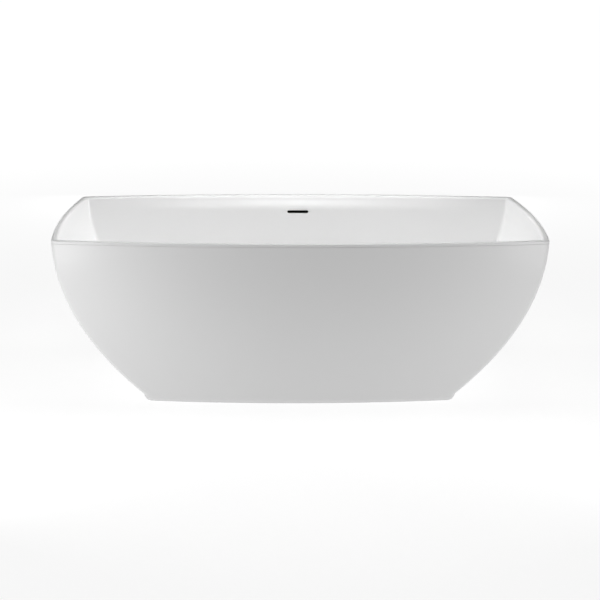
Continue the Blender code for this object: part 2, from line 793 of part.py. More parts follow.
def levelling_feet():
    hexagon = cutter("stud", rod_mesh("stud", STUD_HEX_R, 0, STUD_HEX_HEIGHT, sides=6))
    base = PAD_HEIGHT + GAP
    shaft = cutter("stud_shaft", rod_mesh("stud_shaft", STUD_R, 0.003, STUD_TOP - base, sides=16))
    boolean(hexagon, shaft, "UNION")
    stud = finished_mesh(hexagon, [shaft])
    nut = hexagon_with_hole("lock_nut", LOCK_NUT_R, STUD_R + GAP, -LOCK_NUT_HEIGHT, 0)
    pad = [
        (0.012, PAD_HEIGHT), (0.017, PAD_HEIGHT - 0.001), (PAD_R - 0.002, 0.005),
        (PAD_R, 0.003), (PAD_R, 0.001), (PAD_R - 0.001, 0), (0, 0),
    ]
    for i, (x, y) in enumerate(corners_at(CROSS_X, FOOT_Y), 1):
        axis = empty(f"foot_{i}_axis", (x, y, 0))
        turned(f"foot_pad_{i}", [(0, PAD_HEIGHT), *pad], "rubber", closed=False, steps=18, parent=axis)
        add(f"foot_stud_{i}", stud, "zinc", (0, 0, base), axis)
        add(f"lock_nut_{i}", nut, "zinc", (x, y, CROSS_BOTTOM - GAP))


# Waste


def drain_flange():
    """The strainer flange: a rim on the basin floor, a threaded tube, and the bridge for the cartridge."""
    seat, top = FLANGE_SEAT, FLANGE_SEAT + 0.002
    profile = [
        (FLANGE_R - 0.0008, top), (FLANGE_R, top - 0.0012), (FLANGE_R, seat), (THREAD_R, seat),
        (THREAD_R, THREAD_BOTTOM), (THREAD_BORE_R, THREAD_BOTTOM), (THREAD_BORE_R, seat - 0.004),
        (THREAD_BORE_R + 0.0022, seat), (THREAD_BORE_R + 0.0045, top),
    ]
    flange = turned("drain_flange", profile, "chrome", steps=28)
    length = 2 * THREAD_BORE_R + 0.002
    middle = (BRIDGE_BOTTOM + BRIDGE_TOP) / 2
    for name, size in (("bar_x", (length, BRIDGE_BAR)), ("bar_y", (BRIDGE_BAR, length))):
        bar = box_mesh(name, (*size, BRIDGE_TOP - BRIDGE_BOTTOM - 0.001))
        boolean(flange, cutter(name, bar, (0, 0, middle)), "UNION")
    hub = cutter("hub", rod_mesh("hub", HUB_R, BRIDGE_BOTTOM, BRIDGE_TOP))
    boolean(flange, hub, "UNION")
    rod = rod_mesh("hub_hole", CARTRIDGE_R + GAP, BRIDGE_BOTTOM - 0.01, BRIDGE_TOP + 0.01)
    hole = cutter("hub_hole", rod)
    boolean(flange, hole)


def drain_seals_and_nut():
    floor_bottom = DRAIN_Z - SHEET
    upper = ring_profile(THREAD_R + 0.0026, FLANGE_R - 0.002, DRAIN_Z + 0.0005, FLANGE_SEAT - GAP)
    turned("flange_gasket", upper, "rubber", steps=20)
    lower_bottom = floor_bottom - GASKET_STACK
    lower = ring_profile(THREAD_R + GAP, 0.036, lower_bottom, floor_bottom - GAP, 0.0005)
    turned("lower_gasket", lower, "rubber", steps=20)
    nut_top = lower_bottom - GAP
    nut = hexagon_with_hole("drain_locknut", 0.038, THREAD_R + GAP, nut_top - 0.009, nut_top)
    add("drain_locknut", nut, "brass")


def waste_tee():
    """Screws up over the flange's tube, takes the overflow hose at its side and the tailpiece below."""
    profile = [
        (TEE_R - 0.001, TEE_TOP), (TEE_R, TEE_TOP - 0.001), (TEE_R, 0.054), (TEE_NECK_R, 0.050),
        (TEE_NECK_R, TEE_BOTTOM), (TAIL_R + GAP, TEE_BOTTOM), (TAIL_R + GAP, 0.0478), (TEE_BORE_R, 0.0478),
        (TEE_BORE_R, THREAD_BOTTOM - 0.0010), (THREAD_R + GAP, THREAD_BOTTOM - 0.0010),
        (THREAD_R + GAP, TEE_TOP),
    ]
    tee = turned("waste_tee", profile, "white_plastic", steps=24)
    branch = rod_mesh("branch", SPIGOT_R, TEE_BORE_R + 0.004, BRANCH_END_Y, axis="Y")
    bore = rod_mesh("branch_bore", SPIGOT_BORE_R, 0.010, BRANCH_END_Y + 0.01, axis="Y")
    boolean(tee, cutter("branch", branch, (0, 0, BRANCH_Z)), "UNION")
    boolean(tee, cutter("branch_bore", bore, (0, 0, BRANCH_Z)))


def tail_pieces():
    turned("tailpiece", ring_profile(TAIL_BORE_R, TAIL_R, TAIL_BOTTOM, 0.0474), "white_plastic", steps=24)
    washer = ring_profile(TAIL_R + GAP, TEE_NECK_R - 0.0004, 0.0369, TEE_BOTTOM - GAP)
    turned("slip_washer", washer, "rubber", steps=20)
    nut = [
        (0.0270, 0.0482), (0.0275, 0.0477), (0.0275, 0.0315), (0.0270, 0.0310), (TAIL_R + GAP, 0.0310),
        (TAIL_R + GAP, 0.0366), (TEE_NECK_R + GAP, 0.0366), (TEE_NECK_R + GAP, 0.0482),
    ]
    turned("slip_nut", nut, "white_plastic", steps=20)


# Stopper


def stopper():
    axis = empty("stopper_axis", (0, 0, CAP_BOTTOM))
    crown = [
        (0, CAP_HEIGHT), (0.012, CAP_HEIGHT - 0.0004), (0.022, CAP_HEIGHT - 0.0015), (CAP_R - 0.002, 0.0028),
        (CAP_R, 0.0012), (CAP_R, 0.0004), (CAP_R - 0.0006, 0), (0, 0),
    ]
    turned("stopper_cap", crown, "chrome", closed=False, steps=28, parent=axis)
    seal = ring_profile(0.020, 0.0265, -0.0010, -GAP, 0.0002)
    turned("stopper_seal", seal, "rubber", steps=20, parent=axis)
    stem_bottom = STEM_BOTTOM - CAP_BOTTOM
    stem = [
        (0, -GAP), (0.008, -GAP), (0.008, -0.004), (STEM_R, -0.006), (STEM_R, stem_bottom + 0.0005),
        (STEM_R - 0.0005, stem_bottom), (0, stem_bottom),
    ]
    turned("stopper_stem", stem, "brass", closed=False, steps=16, parent=axis)


def click_cartridge():
    """The barrel in the flange's bridge that the stem slides in."""
    bore = STEM_R + GAP
    profile = [
        (CARTRIDGE_R, CARTRIDGE_TOP), (CARTRIDGE_R, BRIDGE_TOP + 0.004), (0.008, BRIDGE_TOP + 0.004),
        (0.008, BRIDGE_TOP + GAP), (CARTRIDGE_R, BRIDGE_TOP + GAP), (CARTRIDGE_R, CARTRIDGE_BOTTOM),
        (0, CARTRIDGE_BOTTOM), (0, CARTRIDGE_BOTTOM + 0.003), (bore, CARTRIDGE_BOTTOM + 0.003),
        (bore, CARTRIDGE_TOP),
    ]
    turned("click_cartridge", profile, "brass", steps=18)


def cartridge_spring():
    """The spring under the stem, as one wire coil."""
    bottom, top = CARTRIDGE_BOTTOM + 0.0040, STEM_BOTTOM - 0.0010
    turns, per_turn, coil_r, wire_r = 4, 7, 0.0031, 0.0005
    points = []
    for i in range(turns * per_turn + 1):
        angle = 2 * math.pi * i / per_turn
        z = mix(bottom, top, i / (turns * per_turn))
        points.append(Vector((coil_r * math.cos(angle), coil_r * math.sin(angle), z)))
    add("cartridge_spring", wire("cartridge_spring", points, wire_r, 1, caps=True), "spring_steel")


def build():
    basin_shell()
    outer_skirt()
    rim_bond()
    overflow()
    overflow_hose()
    hose_clamps()
    base_board()
    frame_rails()
    cross_members()
    skirt_brackets()
    frame_bolts()
    board_screws()
    levelling_feet()
    drain_flange()
    drain_seals_and_nut()
    waste_tee()
    tail_pieces()
    stopper()
    click_cartridge()
    cartridge_spring()


clear_scene()
PARTS = new_collection("freestanding_bathtub")
CUTTERS = new_collection("cutters", hidden=True)
build()
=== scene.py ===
"""Looks of the freestanding bathtub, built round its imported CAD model.

Units are metres, in the CAD's frame. Shells and small parts are rebuilt finely where their CAD solids
are, and each stands for its CAD node.
"""

import json
import math
from collections import namedtuple

import bmesh
import bpy
import numpy as np
from mathutils import Matrix, Vector


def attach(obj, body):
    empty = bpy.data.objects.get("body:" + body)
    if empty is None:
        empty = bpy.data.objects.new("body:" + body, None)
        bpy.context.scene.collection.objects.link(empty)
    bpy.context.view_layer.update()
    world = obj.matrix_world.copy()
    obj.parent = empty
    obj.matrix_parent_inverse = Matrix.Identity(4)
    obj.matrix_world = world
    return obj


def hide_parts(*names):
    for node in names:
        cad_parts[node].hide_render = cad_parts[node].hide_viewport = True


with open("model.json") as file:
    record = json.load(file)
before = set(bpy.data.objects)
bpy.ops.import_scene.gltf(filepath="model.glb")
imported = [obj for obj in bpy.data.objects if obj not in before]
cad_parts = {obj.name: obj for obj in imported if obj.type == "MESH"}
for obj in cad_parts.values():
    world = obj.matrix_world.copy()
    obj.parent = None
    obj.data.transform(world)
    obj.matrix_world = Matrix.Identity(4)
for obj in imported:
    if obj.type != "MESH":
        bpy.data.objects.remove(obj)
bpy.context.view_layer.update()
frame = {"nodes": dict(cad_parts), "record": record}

# The tub's form, as in the CAD
HEIGHT = 0.600
RIM_HALF_LENGTH = 0.827
RIM_HALF_WIDTH = 0.352
RIM_END_BOW = 0.023
RIM_SIDE_BOW = 0.048
RIM_CORNER = 0.018
FOOT_HALF_LENGTH = 0.548
FOOT_HALF_WIDTH = 0.2775
FOOT_END_BOW = 0.016
FOOT_SIDE_BOW = 0.030
FOOT_CORNER = 0.030
FOOT_LIP_HEIGHT = 0.025
FOOT_LIP_TAPER = 0.008
SHEET = 0.005
RIM_WIDTH = 0.020
LIP_BOTTOM = 0.590
BASE_FLANGE = 0.022
GAP = 0.0003
FLOOR_EDGE_Z = 0.134
DRAIN_Z = 0.130
WALL_LEAN = 0.006
WALL_FILLET = 0.115
WALL_POWER = 3.5
ROLL_DEPTH = 0.055
ROLL_BOW = 0.014
LOWER_BOW = 0.008
INNER_CORNER_TOP = 0.010
INNER_CORNER_GROWTH = 0.055
DRAIN_HOLE_R = 0.026

# Finer than the CAD's facets
RIM_EDGE = 0.0032
INNER_EDGE = 0.0090
FOOT_EDGE = 0.006
EASED = 0.0009
SIDE_STEPS, CORNER_STEPS, END_STEPS = 28, 10, 14

# Overflow
SLOT_Z = 0.537
SLOT_WIDTH = 0.082
SLOT_HEIGHT = 0.011
OVERFLOW_TILT = math.radians(5.5)
WALL_BACK_Y = 0.3679667  # hidden face of the far wall behind the slot
LINER_WALL = 0.0012
LINER_PROUD = 0.0028
CHAMBER_FRONT = 0.0040
CHAMBER_DEPTH = 0.018
CHAMBER_HALF_WIDTH = 0.058
CHAMBER_ABOVE = 0.018
CHAMBER_BELOW = 0.060
CHAMBER_WALL = 0.002
SPIGOT_Y = CHAMBER_FRONT + CHAMBER_DEPTH / 2 + 0.001
SPIGOT_R = 0.008
SPIGOT_BORE_R = 0.0063
SPIGOT_LENGTH = 0.022
HOSE_R = 0.0112
HOSE_BORE_R = 0.0090

# Base frame and feet
BOARD_SIZE = (0.940, 0.330, 0.015)
BOARD_TOP = 0.1245
BOARD_HOLE_R = 0.045
TUBE = 0.025
TUBE_WALL = 0.0015
RAIL_Y = 0.140
RAIL_LENGTH = 0.940
CROSS_X = 0.380
CROSS_LENGTH = 0.470
RAIL_TOP = BOARD_TOP - BOARD_SIZE[2] - GAP
RAIL_BOTTOM = RAIL_TOP - TUBE
CROSS_TOP = RAIL_BOTTOM - GAP
CROSS_BOTTOM = CROSS_TOP - TUBE
BOLT_R = 0.0038
SCREW_X = 0.220
SCREW_R = 0.0021
HOLE_PLAY = 0.0004
BRACKET_THICK = 0.002
BRACKET_WIDTH = 0.030
BRACKET_Y = 0.261
BRACKET_REACH = 0.016
BRACKET_FOOT = 0.012
BRACKET_SCREW_Y = 0.2275
FOOT_Y = 0.205
PAD_R = 0.025
PAD_HEIGHT = 0.010
STUD_R = 0.0059
STUD_TOP = 0.100
STUD_HEX_R = 0.011
LOCK_NUT_HEIGHT = 0.010

# Waste and stopper
FLANGE_R = 0.035
FLANGE_SEAT = DRAIN_Z + 0.0016
THREAD_R = 0.024
THREAD_BORE_R = 0.0205
THREAD_BOTTOM = 0.0935
LOWER_GASKET_R = 0.036
DRAIN_NUT_R = 0.038
DRAIN_NUT_HEIGHT = 0.009
BRIDGE_BOTTOM = 0.097
BRIDGE_TOP = 0.103
TEE_R = 0.027
TEE_TOP = 0.106
TEE_NECK_R = 0.023
TEE_BOTTOM = 0.040
TEE_BORE_R = 0.0185
TEE_SEAT = 0.0478
BRANCH_Z = 0.066
BRANCH_END_Y = 0.065
TAIL_R = 0.020
TAIL_BORE_R = 0.0182
TAIL_TOP = 0.0474
TAIL_BOTTOM = 0.012
SLIP_NUT_R = 0.0275
SLIP_NUT_TOP = 0.0482
SLIP_NUT_BOTTOM = 0.0310
CAP_R = 0.031
CAP_BOTTOM = 0.135
CAP_HEIGHT = 0.0065
STEM_R = 0.004
STEM_BOTTOM = 0.1035
CARTRIDGE_R = 0.006
CARTRIDGE_BOTTOM = 0.088
CARTRIDGE_TOP = 0.118

# Studio and camera
FLOOR_HALF = 40
FLOOR_DROP = 0.0004
# Painted light: the floor is dark grey and glows to look white. The glow fills in the tub's shadow on it and
# rises with distance.
FLOOR_COLOUR = 0.20
FLOOR_GLOW = 0.885
FLOOR_GLOW_AWAY = 1.02
FLOOR_GLOW_STARTS, FLOOR_GLOW_ENDS = 1.6, 5.0
WORLD_LIGHT = 0.01
WORLD_SEEN = 1.02
SENSOR = 36
FOCAL_RATIO = 1217 / 600  # focal length as a share of the picture's width
CAMERA_AT = (-0.077, -4.265, 1.585)
CAMERA_PITCH, CAMERA_YAW, CAMERA_ROLL = (math.radians(angle) for angle in (16.90, 1.08, 0.29))

Plan = namedtuple("Plan", "half_length half_width end_bow side_bow corner")


# Materials


class Finish:
    """A material whose colour, roughness and relief come from textures in the piece's own space."""

    def __init__(self, name, **constants):
        self.material = bpy.data.materials.new(name)
        self.material.use_nodes = True
        self.tree = self.material.node_tree
        self.shader = self.tree.nodes["Principled BSDF"]
        self.space = self.node("ShaderNodeTexCoord").outputs["Object"]
        self.relief = None
        for key, value in constants.items():
            self.shader.inputs[key.replace("_", " ")].default_value = value

    def node(self, kind, inputs=None, **settings):
        made = self.tree.nodes.new(kind)
        for key, value in settings.items():
            setattr(made, key, value)
        for key, value in (inputs or {}).items():
            if isinstance(value, bpy.types.NodeSocket):
                self.tree.links.new(value, made.inputs[key])
            else:
                made.inputs[key].default_value = value
        return made

    def stretched(self, stretch, turn=(0, 0, 0)):
        if stretch == (1, 1, 1) and turn == (0, 0, 0):
            return self.space
        inputs = {"Vector": self.space, "Scale": stretch, "Rotation": turn}
        return self.node("ShaderNodeMapping", inputs).outputs["Vector"]

    def noise(self, scale, detail=3.0, stretch=(1, 1, 1), turn=(0, 0, 0), distortion=0.0):
        inputs = {"Vector": self.stretched(stretch, turn), "Scale": scale, "Detail": detail}
        inputs["Distortion"] = distortion
        return self.node("ShaderNodeTexNoise", inputs).outputs["Fac"]

    def cells(self, scale, output="Distance", feature="F1", stretch=(1, 1, 1), turn=(0, 0, 0)):
        inputs = {"Vector": self.stretched(stretch, turn), "Scale": scale}
        return self.node("ShaderNodeTexVoronoi", inputs, feature=feature).outputs[output]

    def rings(self, scale, direction="Z"):
        inputs = {"Vector": self.space, "Scale": scale, "Distortion": 1.5, "Detail": 2.0, "Detail Scale": 1.2}
        wave = self.node("ShaderNodeTexWave", inputs, wave_type="BANDS", bands_direction=direction)
        return wave.outputs["Fac"]

    def span(self, value, low, high, start=0.3, end=0.7):
        inputs = {"Value": value, "From Min": start, "From Max": end, "To Min": low, "To Max": high}
        return self.node("ShaderNodeMapRange", inputs).outputs["Result"]

    def sum(self, a, b, operation="ADD"):
        made = self.node("ShaderNodeMath", {0: a, 1: b}, operation=operation)
        return made.outputs["Value"]

    def ramp(self, value, stops):
        made = self.node("ShaderNodeValToRGB", {"Fac": value})
        elements = made.color_ramp.elements
        while len(elements) < len(stops):
            elements.new(0.5)
        for element, (position, colour) in zip(elements, stops):
            element.position = position
            element.color = (*colour, 1)
        return made.outputs["Color"]

    def mixed(self, factor, first, second):
        made = self.node("ShaderNodeMix", {0: factor, 6: first, 7: second}, data_type="RGBA")
        return made.outputs[2]

    def colour(self, socket):
        self.tree.links.new(socket, self.shader.inputs["Base Color"])

    def roughness(self, socket):
        self.tree.links.new(socket, self.shader.inputs["Roughness"])

    def bump(self, height, distance, strength=1.0):
        inputs = {"Height": height, "Distance": distance, "Strength": strength}
        if self.relief is not None:
            inputs["Normal"] = self.relief
        self.relief = self.node("ShaderNodeBump", inputs).outputs["Normal"]
        for link in list(self.shader.inputs["Normal"].links):
            self.tree.links.remove(link)
        self.tree.links.new(self.relief, self.shader.inputs["Normal"])


def grey(value):
    return (value, value, value)


def acrylic():
    """Gloss sanitary acrylic, with the faint ripple of a vacuum-formed sheet."""
    f = Finish("acrylic", Coat_Weight=0.05, Coat_Roughness=0.15, Specular_IOR_Level=0.30)
    f.colour(f.ramp(f.noise(1.6, 1), [(0.2, grey(0.752)), (0.8, grey(0.764))]))
    f.roughness(f.span(f.noise(3, 1), 0.27, 0.31, 0.1, 0.9))
    f.bump(f.noise(6, 1), 0.0003, 0.10)
    f.bump(f.noise(300, 3), 0.00002, 0.3)
    return f.material


def fibreglass():
    """The sprayed, rolled glass-fibre resin on the shells' hidden faces."""
    f = Finish("fibreglass", Coat_Weight=0.15, Coat_Roughness=0.3)
    strands = None
    for i, angle in enumerate((0.2, 1.1, 2.0, 2.7)):
        turn = (angle, angle * 0.7, angle * 1.3 + i)
        fibre = f.span(f.noise(60, 2, stretch=(1, 14, 14), turn=turn), 0, 1, 0.55, 0.68)
        strands = fibre if strands is None else f.sum(strands, fibre, "MAXIMUM")
    resin = f.ramp(f.noise(14, 5), [(0.3, (0.60, 0.61, 0.53)), (0.7, (0.72, 0.73, 0.66))])
    glass = f.ramp(f.noise(300, 2), [(0.3, (0.70, 0.73, 0.68)), (0.7, (0.80, 0.82, 0.78))])
    f.colour(f.mixed(strands, resin, glass))
    f.roughness(f.span(f.noise(45, 4), 0.42, 0.66))
    f.bump(f.noise(55, 5), 0.0016, 0.6)
    f.bump(strands, 0.0004, 0.6)
    return f.material


def board():
    """Chipboard: pressed flakes in a few browns, with resin between them."""
    f = Finish("board")
    flake = f.cells(330, "Color", stretch=(1, 1, 2.6), turn=(0.1, 0.05, 0.6))
    thin = f.cells(520, "Color", stretch=(2.4, 1, 2.2), turn=(0.05, 0.1, -0.5))
    flakes = f.ramp(flake, [
        (0.0, (0.20, 0.125, 0.065)), (0.35, (0.36, 0.245, 0.135)), (0.7, (0.47, 0.345, 0.205)),
        (1.0, (0.58, 0.45, 0.29)),
    ])
    slivers = f.ramp(thin, [(0.2, (0.28, 0.185, 0.10)), (0.8, (0.52, 0.395, 0.245))])
    chips = f.mixed(f.span(f.noise(170, 3), 0, 1, 0.42, 0.58), flakes, slivers)
    stain = f.ramp(f.noise(9, 4), [(0.3, grey(0.82)), (0.7, grey(1.0))])
    made = f.node("ShaderNodeMix", {0: 1.0, 6: chips, 7: stain}, data_type="RGBA", blend_type="MULTIPLY")
    f.colour(made.outputs[2])
    f.roughness(f.span(f.noise(240, 3), 0.68, 0.9))
    edge = f.cells(330, "Distance", "DISTANCE_TO_EDGE", stretch=(1, 1, 2.6), turn=(0.1, 0.05, 0.6))
    f.bump(f.span(edge, 0, 1, 0.0, 0.12), 0.0003, 0.6)
    f.bump(f.noise(900, 3), 0.0002, 0.5)
    return f.material


def galvanised():
    """Zinc spangle on steel tube."""
    f = Finish("galvanised", Metallic=1.0)
    spangle = f.cells(95, "Color")
    tone = f.ramp(spangle, [
        (0.0, (0.40, 0.415, 0.43)), (0.5, (0.52, 0.535, 0.55)), (1.0, (0.66, 0.675, 0.69)),
    ])
    dull = f.ramp(f.noise(12, 5), [(0.35, (0.55, 0.56, 0.57)), (0.65, (0.43, 0.435, 0.44))])
    f.colour(f.mixed(f.span(f.noise(18, 5), 0.1, 0.55), tone, dull))
    base = f.span(spangle, 0.30, 0.50, 0, 1)
    f.roughness(f.sum(base, f.span(f.noise(30, 4), -0.04, 0.08)))
    f.bump(f.noise(700, 2), 0.00006, 0.5)
    f.bump(spangle, 0.00008, 0.5)
    return f.material


def zinc():
    """Bright zinc plating with its faint blue and straw tints."""
    f = Finish("zinc", Metallic=1.0)
    tint = f.ramp(f.noise(110, 4, distortion=0.8), [
        (0.30, (0.58, 0.61, 0.67)), (0.5, (0.66, 0.67, 0.68)), (0.70, (0.70, 0.68, 0.60)),
    ])
    f.colour(tint)
    f.roughness(f.span(f.noise(340, 4), 0.20, 0.38))
    f.bump(f.noise(2200, 2), 0.00004, 0.5)
    return f.material


def chrome():
    """Polished chrome with a few dried water marks."""
    f = Finish("chrome", Metallic=1.0)
    f.colour(f.ramp(f.noise(40, 3), [(0.3, (0.74, 0.75, 0.765)), (0.7, (0.80, 0.81, 0.82))]))
    marks = f.span(f.cells(160), 0.07, 0.0, 0.10, 0.24)
    f.roughness(f.sum(f.span(f.noise(90, 5, distortion=1.0), 0.05, 0.11), marks))
    f.bump(f.noise(320, 2), 0.00002, 0.4)
    return f.material


def brass():
    f = Finish("brass", Metallic=1.0)
    f.colour(f.ramp(f.noise(130, 5), [
        (0.28, (0.52, 0.36, 0.14)), (0.5, (0.70, 0.52, 0.23)), (0.75, (0.80, 0.63, 0.32)),
    ]))
    f.roughness(f.span(f.noise(260, 4), 0.22, 0.42))
    f.bump(f.rings(900), 0.00004, 0.5)
    f.bump(f.noise(1500, 2), 0.00003, 0.4)
    return f.material


def white_plastic():
    f = Finish("white_plastic")
    f.colour(f.ramp(f.noise(45, 4, distortion=0.6), [(0.3, (0.70, 0.70, 0.675)), (0.7, (0.79, 0.79, 0.775))]))
    f.roughness(f.span(f.noise(160, 4), 0.30, 0.46))
    f.bump(f.noise(1500, 2), 0.00006, 0.5)
    f.bump(f.noise(60, 2), 0.0003, 0.2)
    return f.material


def rubber():
    """Moulded rubber with a little dust in its texture."""
    f = Finish("rubber")
    base = f.ramp(f.noise(220, 4), [(0.3, grey(0.018)), (0.7, grey(0.034))])
    f.colour(f.mixed(f.span(f.noise(70, 6), 0.0, 0.35, 0.5, 0.75), base, (0.13, 0.125, 0.115, 1)))
    f.roughness(f.span(f.noise(300, 3), 0.70, 0.92))
    f.bump(f.noise(1700, 3), 0.00015, 0.6)
    return f.material


def plain(name, tone, roughness, relief, **constants):
    """Mottled colour, uneven roughness and fine relief, each from (scale, detail, ...) of a noise."""
    f = Finish(name, **constants)
    scale, detail, dark, light = tone
    f.colour(f.ramp(f.noise(scale, detail), [(0.3, dark), (0.7, light)]))
    scale, detail, low, high = roughness
    f.roughness(f.span(f.noise(scale, detail), low, high))
    scale, detail, distance, strength = relief
    f.bump(f.noise(scale, detail), distance, strength)
    return f.material


FINISHES = {
    make.__name__: make()
    for make in (acrylic, fibreglass, board, galvanised, zinc, chrome, brass, white_plastic, rubber)
}
for name, *layers, constants in (
    ("adhesive", (60, 5, (0.62, 0.60, 0.52), (0.76, 0.75, 0.69)), (130, 3, 0.5, 0.75),
     (90, 4, 0.0015, 0.7), {}),
    ("spring_steel", (500, 4, (0.34, 0.345, 0.355), (0.50, 0.505, 0.515)), (900, 3, 0.25, 0.42),
     (2600, 2, 0.00003, 0.5), {"Metallic": 1.0}),
    ("black_plastic", (90, 4, grey(0.004), grey(0.009)), (210, 4, 0.42, 0.58), (2400, 2, 0.00008, 0.5),
     {"Specular_IOR_Level": 0.2}),
    ("grey_hose", (55, 5, (0.40, 0.41, 0.42), (0.52, 0.53, 0.54)), (190, 4, 0.40, 0.60),
     (1300, 2, 0.0001, 0.5), {}),
):
    FINISHES[name] = plain(name, *layers, **constants)


# Pieces


def placed(name, data, at=(0, 0, 0), turn=None):
    obj = bpy.data.objects.new(name, data)
    bpy.context.scene.collection.objects.link(obj)
    obj.location = at
    if turn is not None:
        obj.rotation_mode = "QUATERNION"
        obj.rotation_quaternion = turn
    return obj


def piece(node, mesh, finish, at=(0, 0, 0), turn=None, body="tub", second=None):
    """An object that stands for a CAD node."""
    obj = placed(f"{node}_detail", mesh, at, turn)
    if not mesh.materials:
        mesh.materials.append(FINISHES[finish])
        if second:
            mesh.materials.append(FINISHES[second])
    if finish != "acrylic":
        obj.modifiers.new("even", "WEIGHTED_NORMAL").keep_sharp = True
    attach(obj, body)
    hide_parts(node)
    return obj


def finished(bm, name, sharp=32):
    mesh = bpy.data.meshes.new(name)
    bm.to_mesh(mesh)
    bm.free()
    return shaded(mesh, sharp)


def to_mesh(name, points, faces, sharp=32, indices=None):
    """A mesh with outward normals, smooth except across sharp edges."""
    mesh = bpy.data.meshes.new(name)
    mesh.from_pydata([tuple(p) for p in points], [], faces)
    if indices is not None:
        mesh.polygons.foreach_set("material_index", indices)
    bm = bmesh.new()
    bm.from_mesh(mesh)
    bmesh.ops.recalc_face_normals(bm, faces=bm.faces)
    bm.to_mesh(mesh)
    bm.free()
    return shaded(mesh, sharp)


def loft(count, around, closed):
    """Faces between count rings of points, which close on themselves or have a cap at each end."""
    faces = []
    for i in range(count if closed else count - 1):
        m = (i + 1) % count
        for j in range(around):
            k = (j + 1) % around
            faces.append((i * around + j, i * around + k, m * around + k, m * around + j))
    if not closed:
        faces.append(tuple(range(around)))
        faces.append(tuple((count - 1) * around + j for j in range(around)))
    return faces


def shaded(mesh, sharp=32):
    mesh.shade_smooth()
    mesh.set_sharp_from_angle(angle=math.radians(sharp))
    return mesh


def merged(name, *meshes, sharp=32):
    """One mesh of several closed ones, which may run into each other."""
    bm = bmesh.new()
    for mesh in meshes:
        bm.from_mesh(mesh)
    return finished(bm, name, sharp)


def moved(mesh, offset=(0, 0, 0), turn=None):
    """The mesh itself, turned and then moved."""
    matrix = Matrix.Translation(offset)
    if turn is not None:
        matrix = matrix @ turn.to_4x4()
    mesh.transform(matrix)
    return mesh


def carved(mesh, cutters, operation="DIFFERENCE", sharp=32):
    """The mesh after a boolean with each cutter."""
    body = placed("carved", mesh)
    tools = []
    for other in cutters:
        tool = placed("cutter", other)
        modifier = body.modifiers.new("cut", "BOOLEAN")
        modifier.operation = operation
        modifier.solver = "EXACT"
        modifier.object = tool
        tools.append(tool)
    bpy.context.view_layer.update()
    graph = bpy.context.evaluated_depsgraph_get()
    made = bpy.data.meshes.new_from_object(body.evaluated_get(graph))
    for obj in (body, *tools):
        bpy.data.objects.remove(obj)
    return shaded(made, sharp)


def eased(points, radius, closed=True, steps=3):
    """A 2D polyline with its corners rounded by up to radius."""
    count = len(points)
    made = []
    for i, here in enumerate(points):
        here = Vector(here)
        if not closed and i in (0, count - 1):
            made.append(here)
            continue
        before, after = Vector(points[i - 1]) - here, Vector(points[(i + 1) % count]) - here
        reach = min(radius, before.length * 0.45, after.length * 0.45)
        if reach < 1e-6 or before.angle(after) > math.radians(172):
            made.append(here)
            continue
        start, end = here + before.normalized() * reach, here + after.normalized() * reach
        for j in range(steps + 1):
            t = j / steps
            made.append(start * (1 - t) ** 2 + here * 2 * t * (1 - t) + end * t * t)
    return made


def lathe(name, profile, steps=48, closed=True, ease=0.0004, wave=None, sharp=32):
    """A turned solid. Profile points are (radius, z), and wave(angle, radius, z) may change a radius."""
    profile = eased(profile, ease, closed) if ease else [Vector(p) for p in profile]
    points, rows = [], []
    for r, z in profile:
        if r < 1e-7:
            rows.append([len(points)] * steps)
            points.append((0, 0, z))
            continue
        row = []
        for i in range(steps):
            angle = 2 * math.pi * i / steps
            radius = wave(angle, r, z) if wave else r
            row.append(len(points))
            points.append((radius * math.cos(angle), radius * math.sin(angle), z))
        rows.append(row)
    pairs = list(zip(rows, rows[1:]))
    if closed:
        pairs.append((rows[-1], rows[0]))
    faces = []
    for upper, lower in pairs:
        for i in range(steps):
            j = (i + 1) % steps
            corners = []
            for index in (upper[i], lower[i], lower[j], upper[j]):
                if index not in corners:
                    corners.append(index)
            if len(corners) > 2:
                faces.append(corners)
    return to_mesh(name, points, faces, sharp)


def ring(inner, outer, bottom, top):
    return [(outer, top), (outer, bottom), (inner, bottom), (inner, top)]


def rod(radius, start, end, steps, at=(0, 0, 0), turn=None):
    """A plain cutter for a round hole, between two heights on its axis."""
    profile = [(0, end), (radius, end), (radius, start), (0, start)]
    return moved(lathe("bore", profile, steps, closed=False, ease=0), at, turn)


def helix_thread(name, radius, depth, pitch, bottom, top, steps=20, tip=0.0):
    """A threaded rod: its crests and roots run along helices between two flat ends."""
    profile = ((0.0, 0), (0.10, 0), (0.45, 1), (0.60, 1), (0.95, 0))  # share of the pitch, share of the depth
    turns = int((top - bottom) / pitch) + 3
    points, faces = [], []
    columns = steps + 1
    rows = [(turn + share, deep) for turn in range(-1, turns) for share, deep in profile[1:]]
    for along, deep in rows:
        for i in range(columns):
            z = bottom + (along + i / steps) * pitch
            r = radius - depth * deep
            if tip:
                r = min(r, radius - tip + max(0.0, top - z), radius)
            angle = 2 * math.pi * i / steps
            if z <= bottom or z >= top:
                z = min(max(z, bottom), top)
                r = min(r, radius - depth)
            points.append((r * math.cos(angle), r * math.sin(angle), z))
    for j in range(len(rows) - 1):
        for i in range(steps):
            a = j * columns + i
            faces.append((a, a + 1, a + columns + 1, a + columns))
    mesh = bpy.data.meshes.new(name)
    mesh.from_pydata(points, [], faces)
    bm = bmesh.new()
    bm.from_mesh(mesh)
    bmesh.ops.remove_doubles(bm, verts=bm.verts, dist=0.000002)
    bmesh.ops.dissolve_degenerate(bm, edges=bm.edges, dist=0.000002)
    bmesh.ops.holes_fill(bm, edges=[e for e in bm.edges if e.is_boundary])
    bmesh.ops.recalc_face_normals(bm, faces=bm.faces)
    bm.to_mesh(mesh)
    bm.free()
    return shaded(mesh, 40)


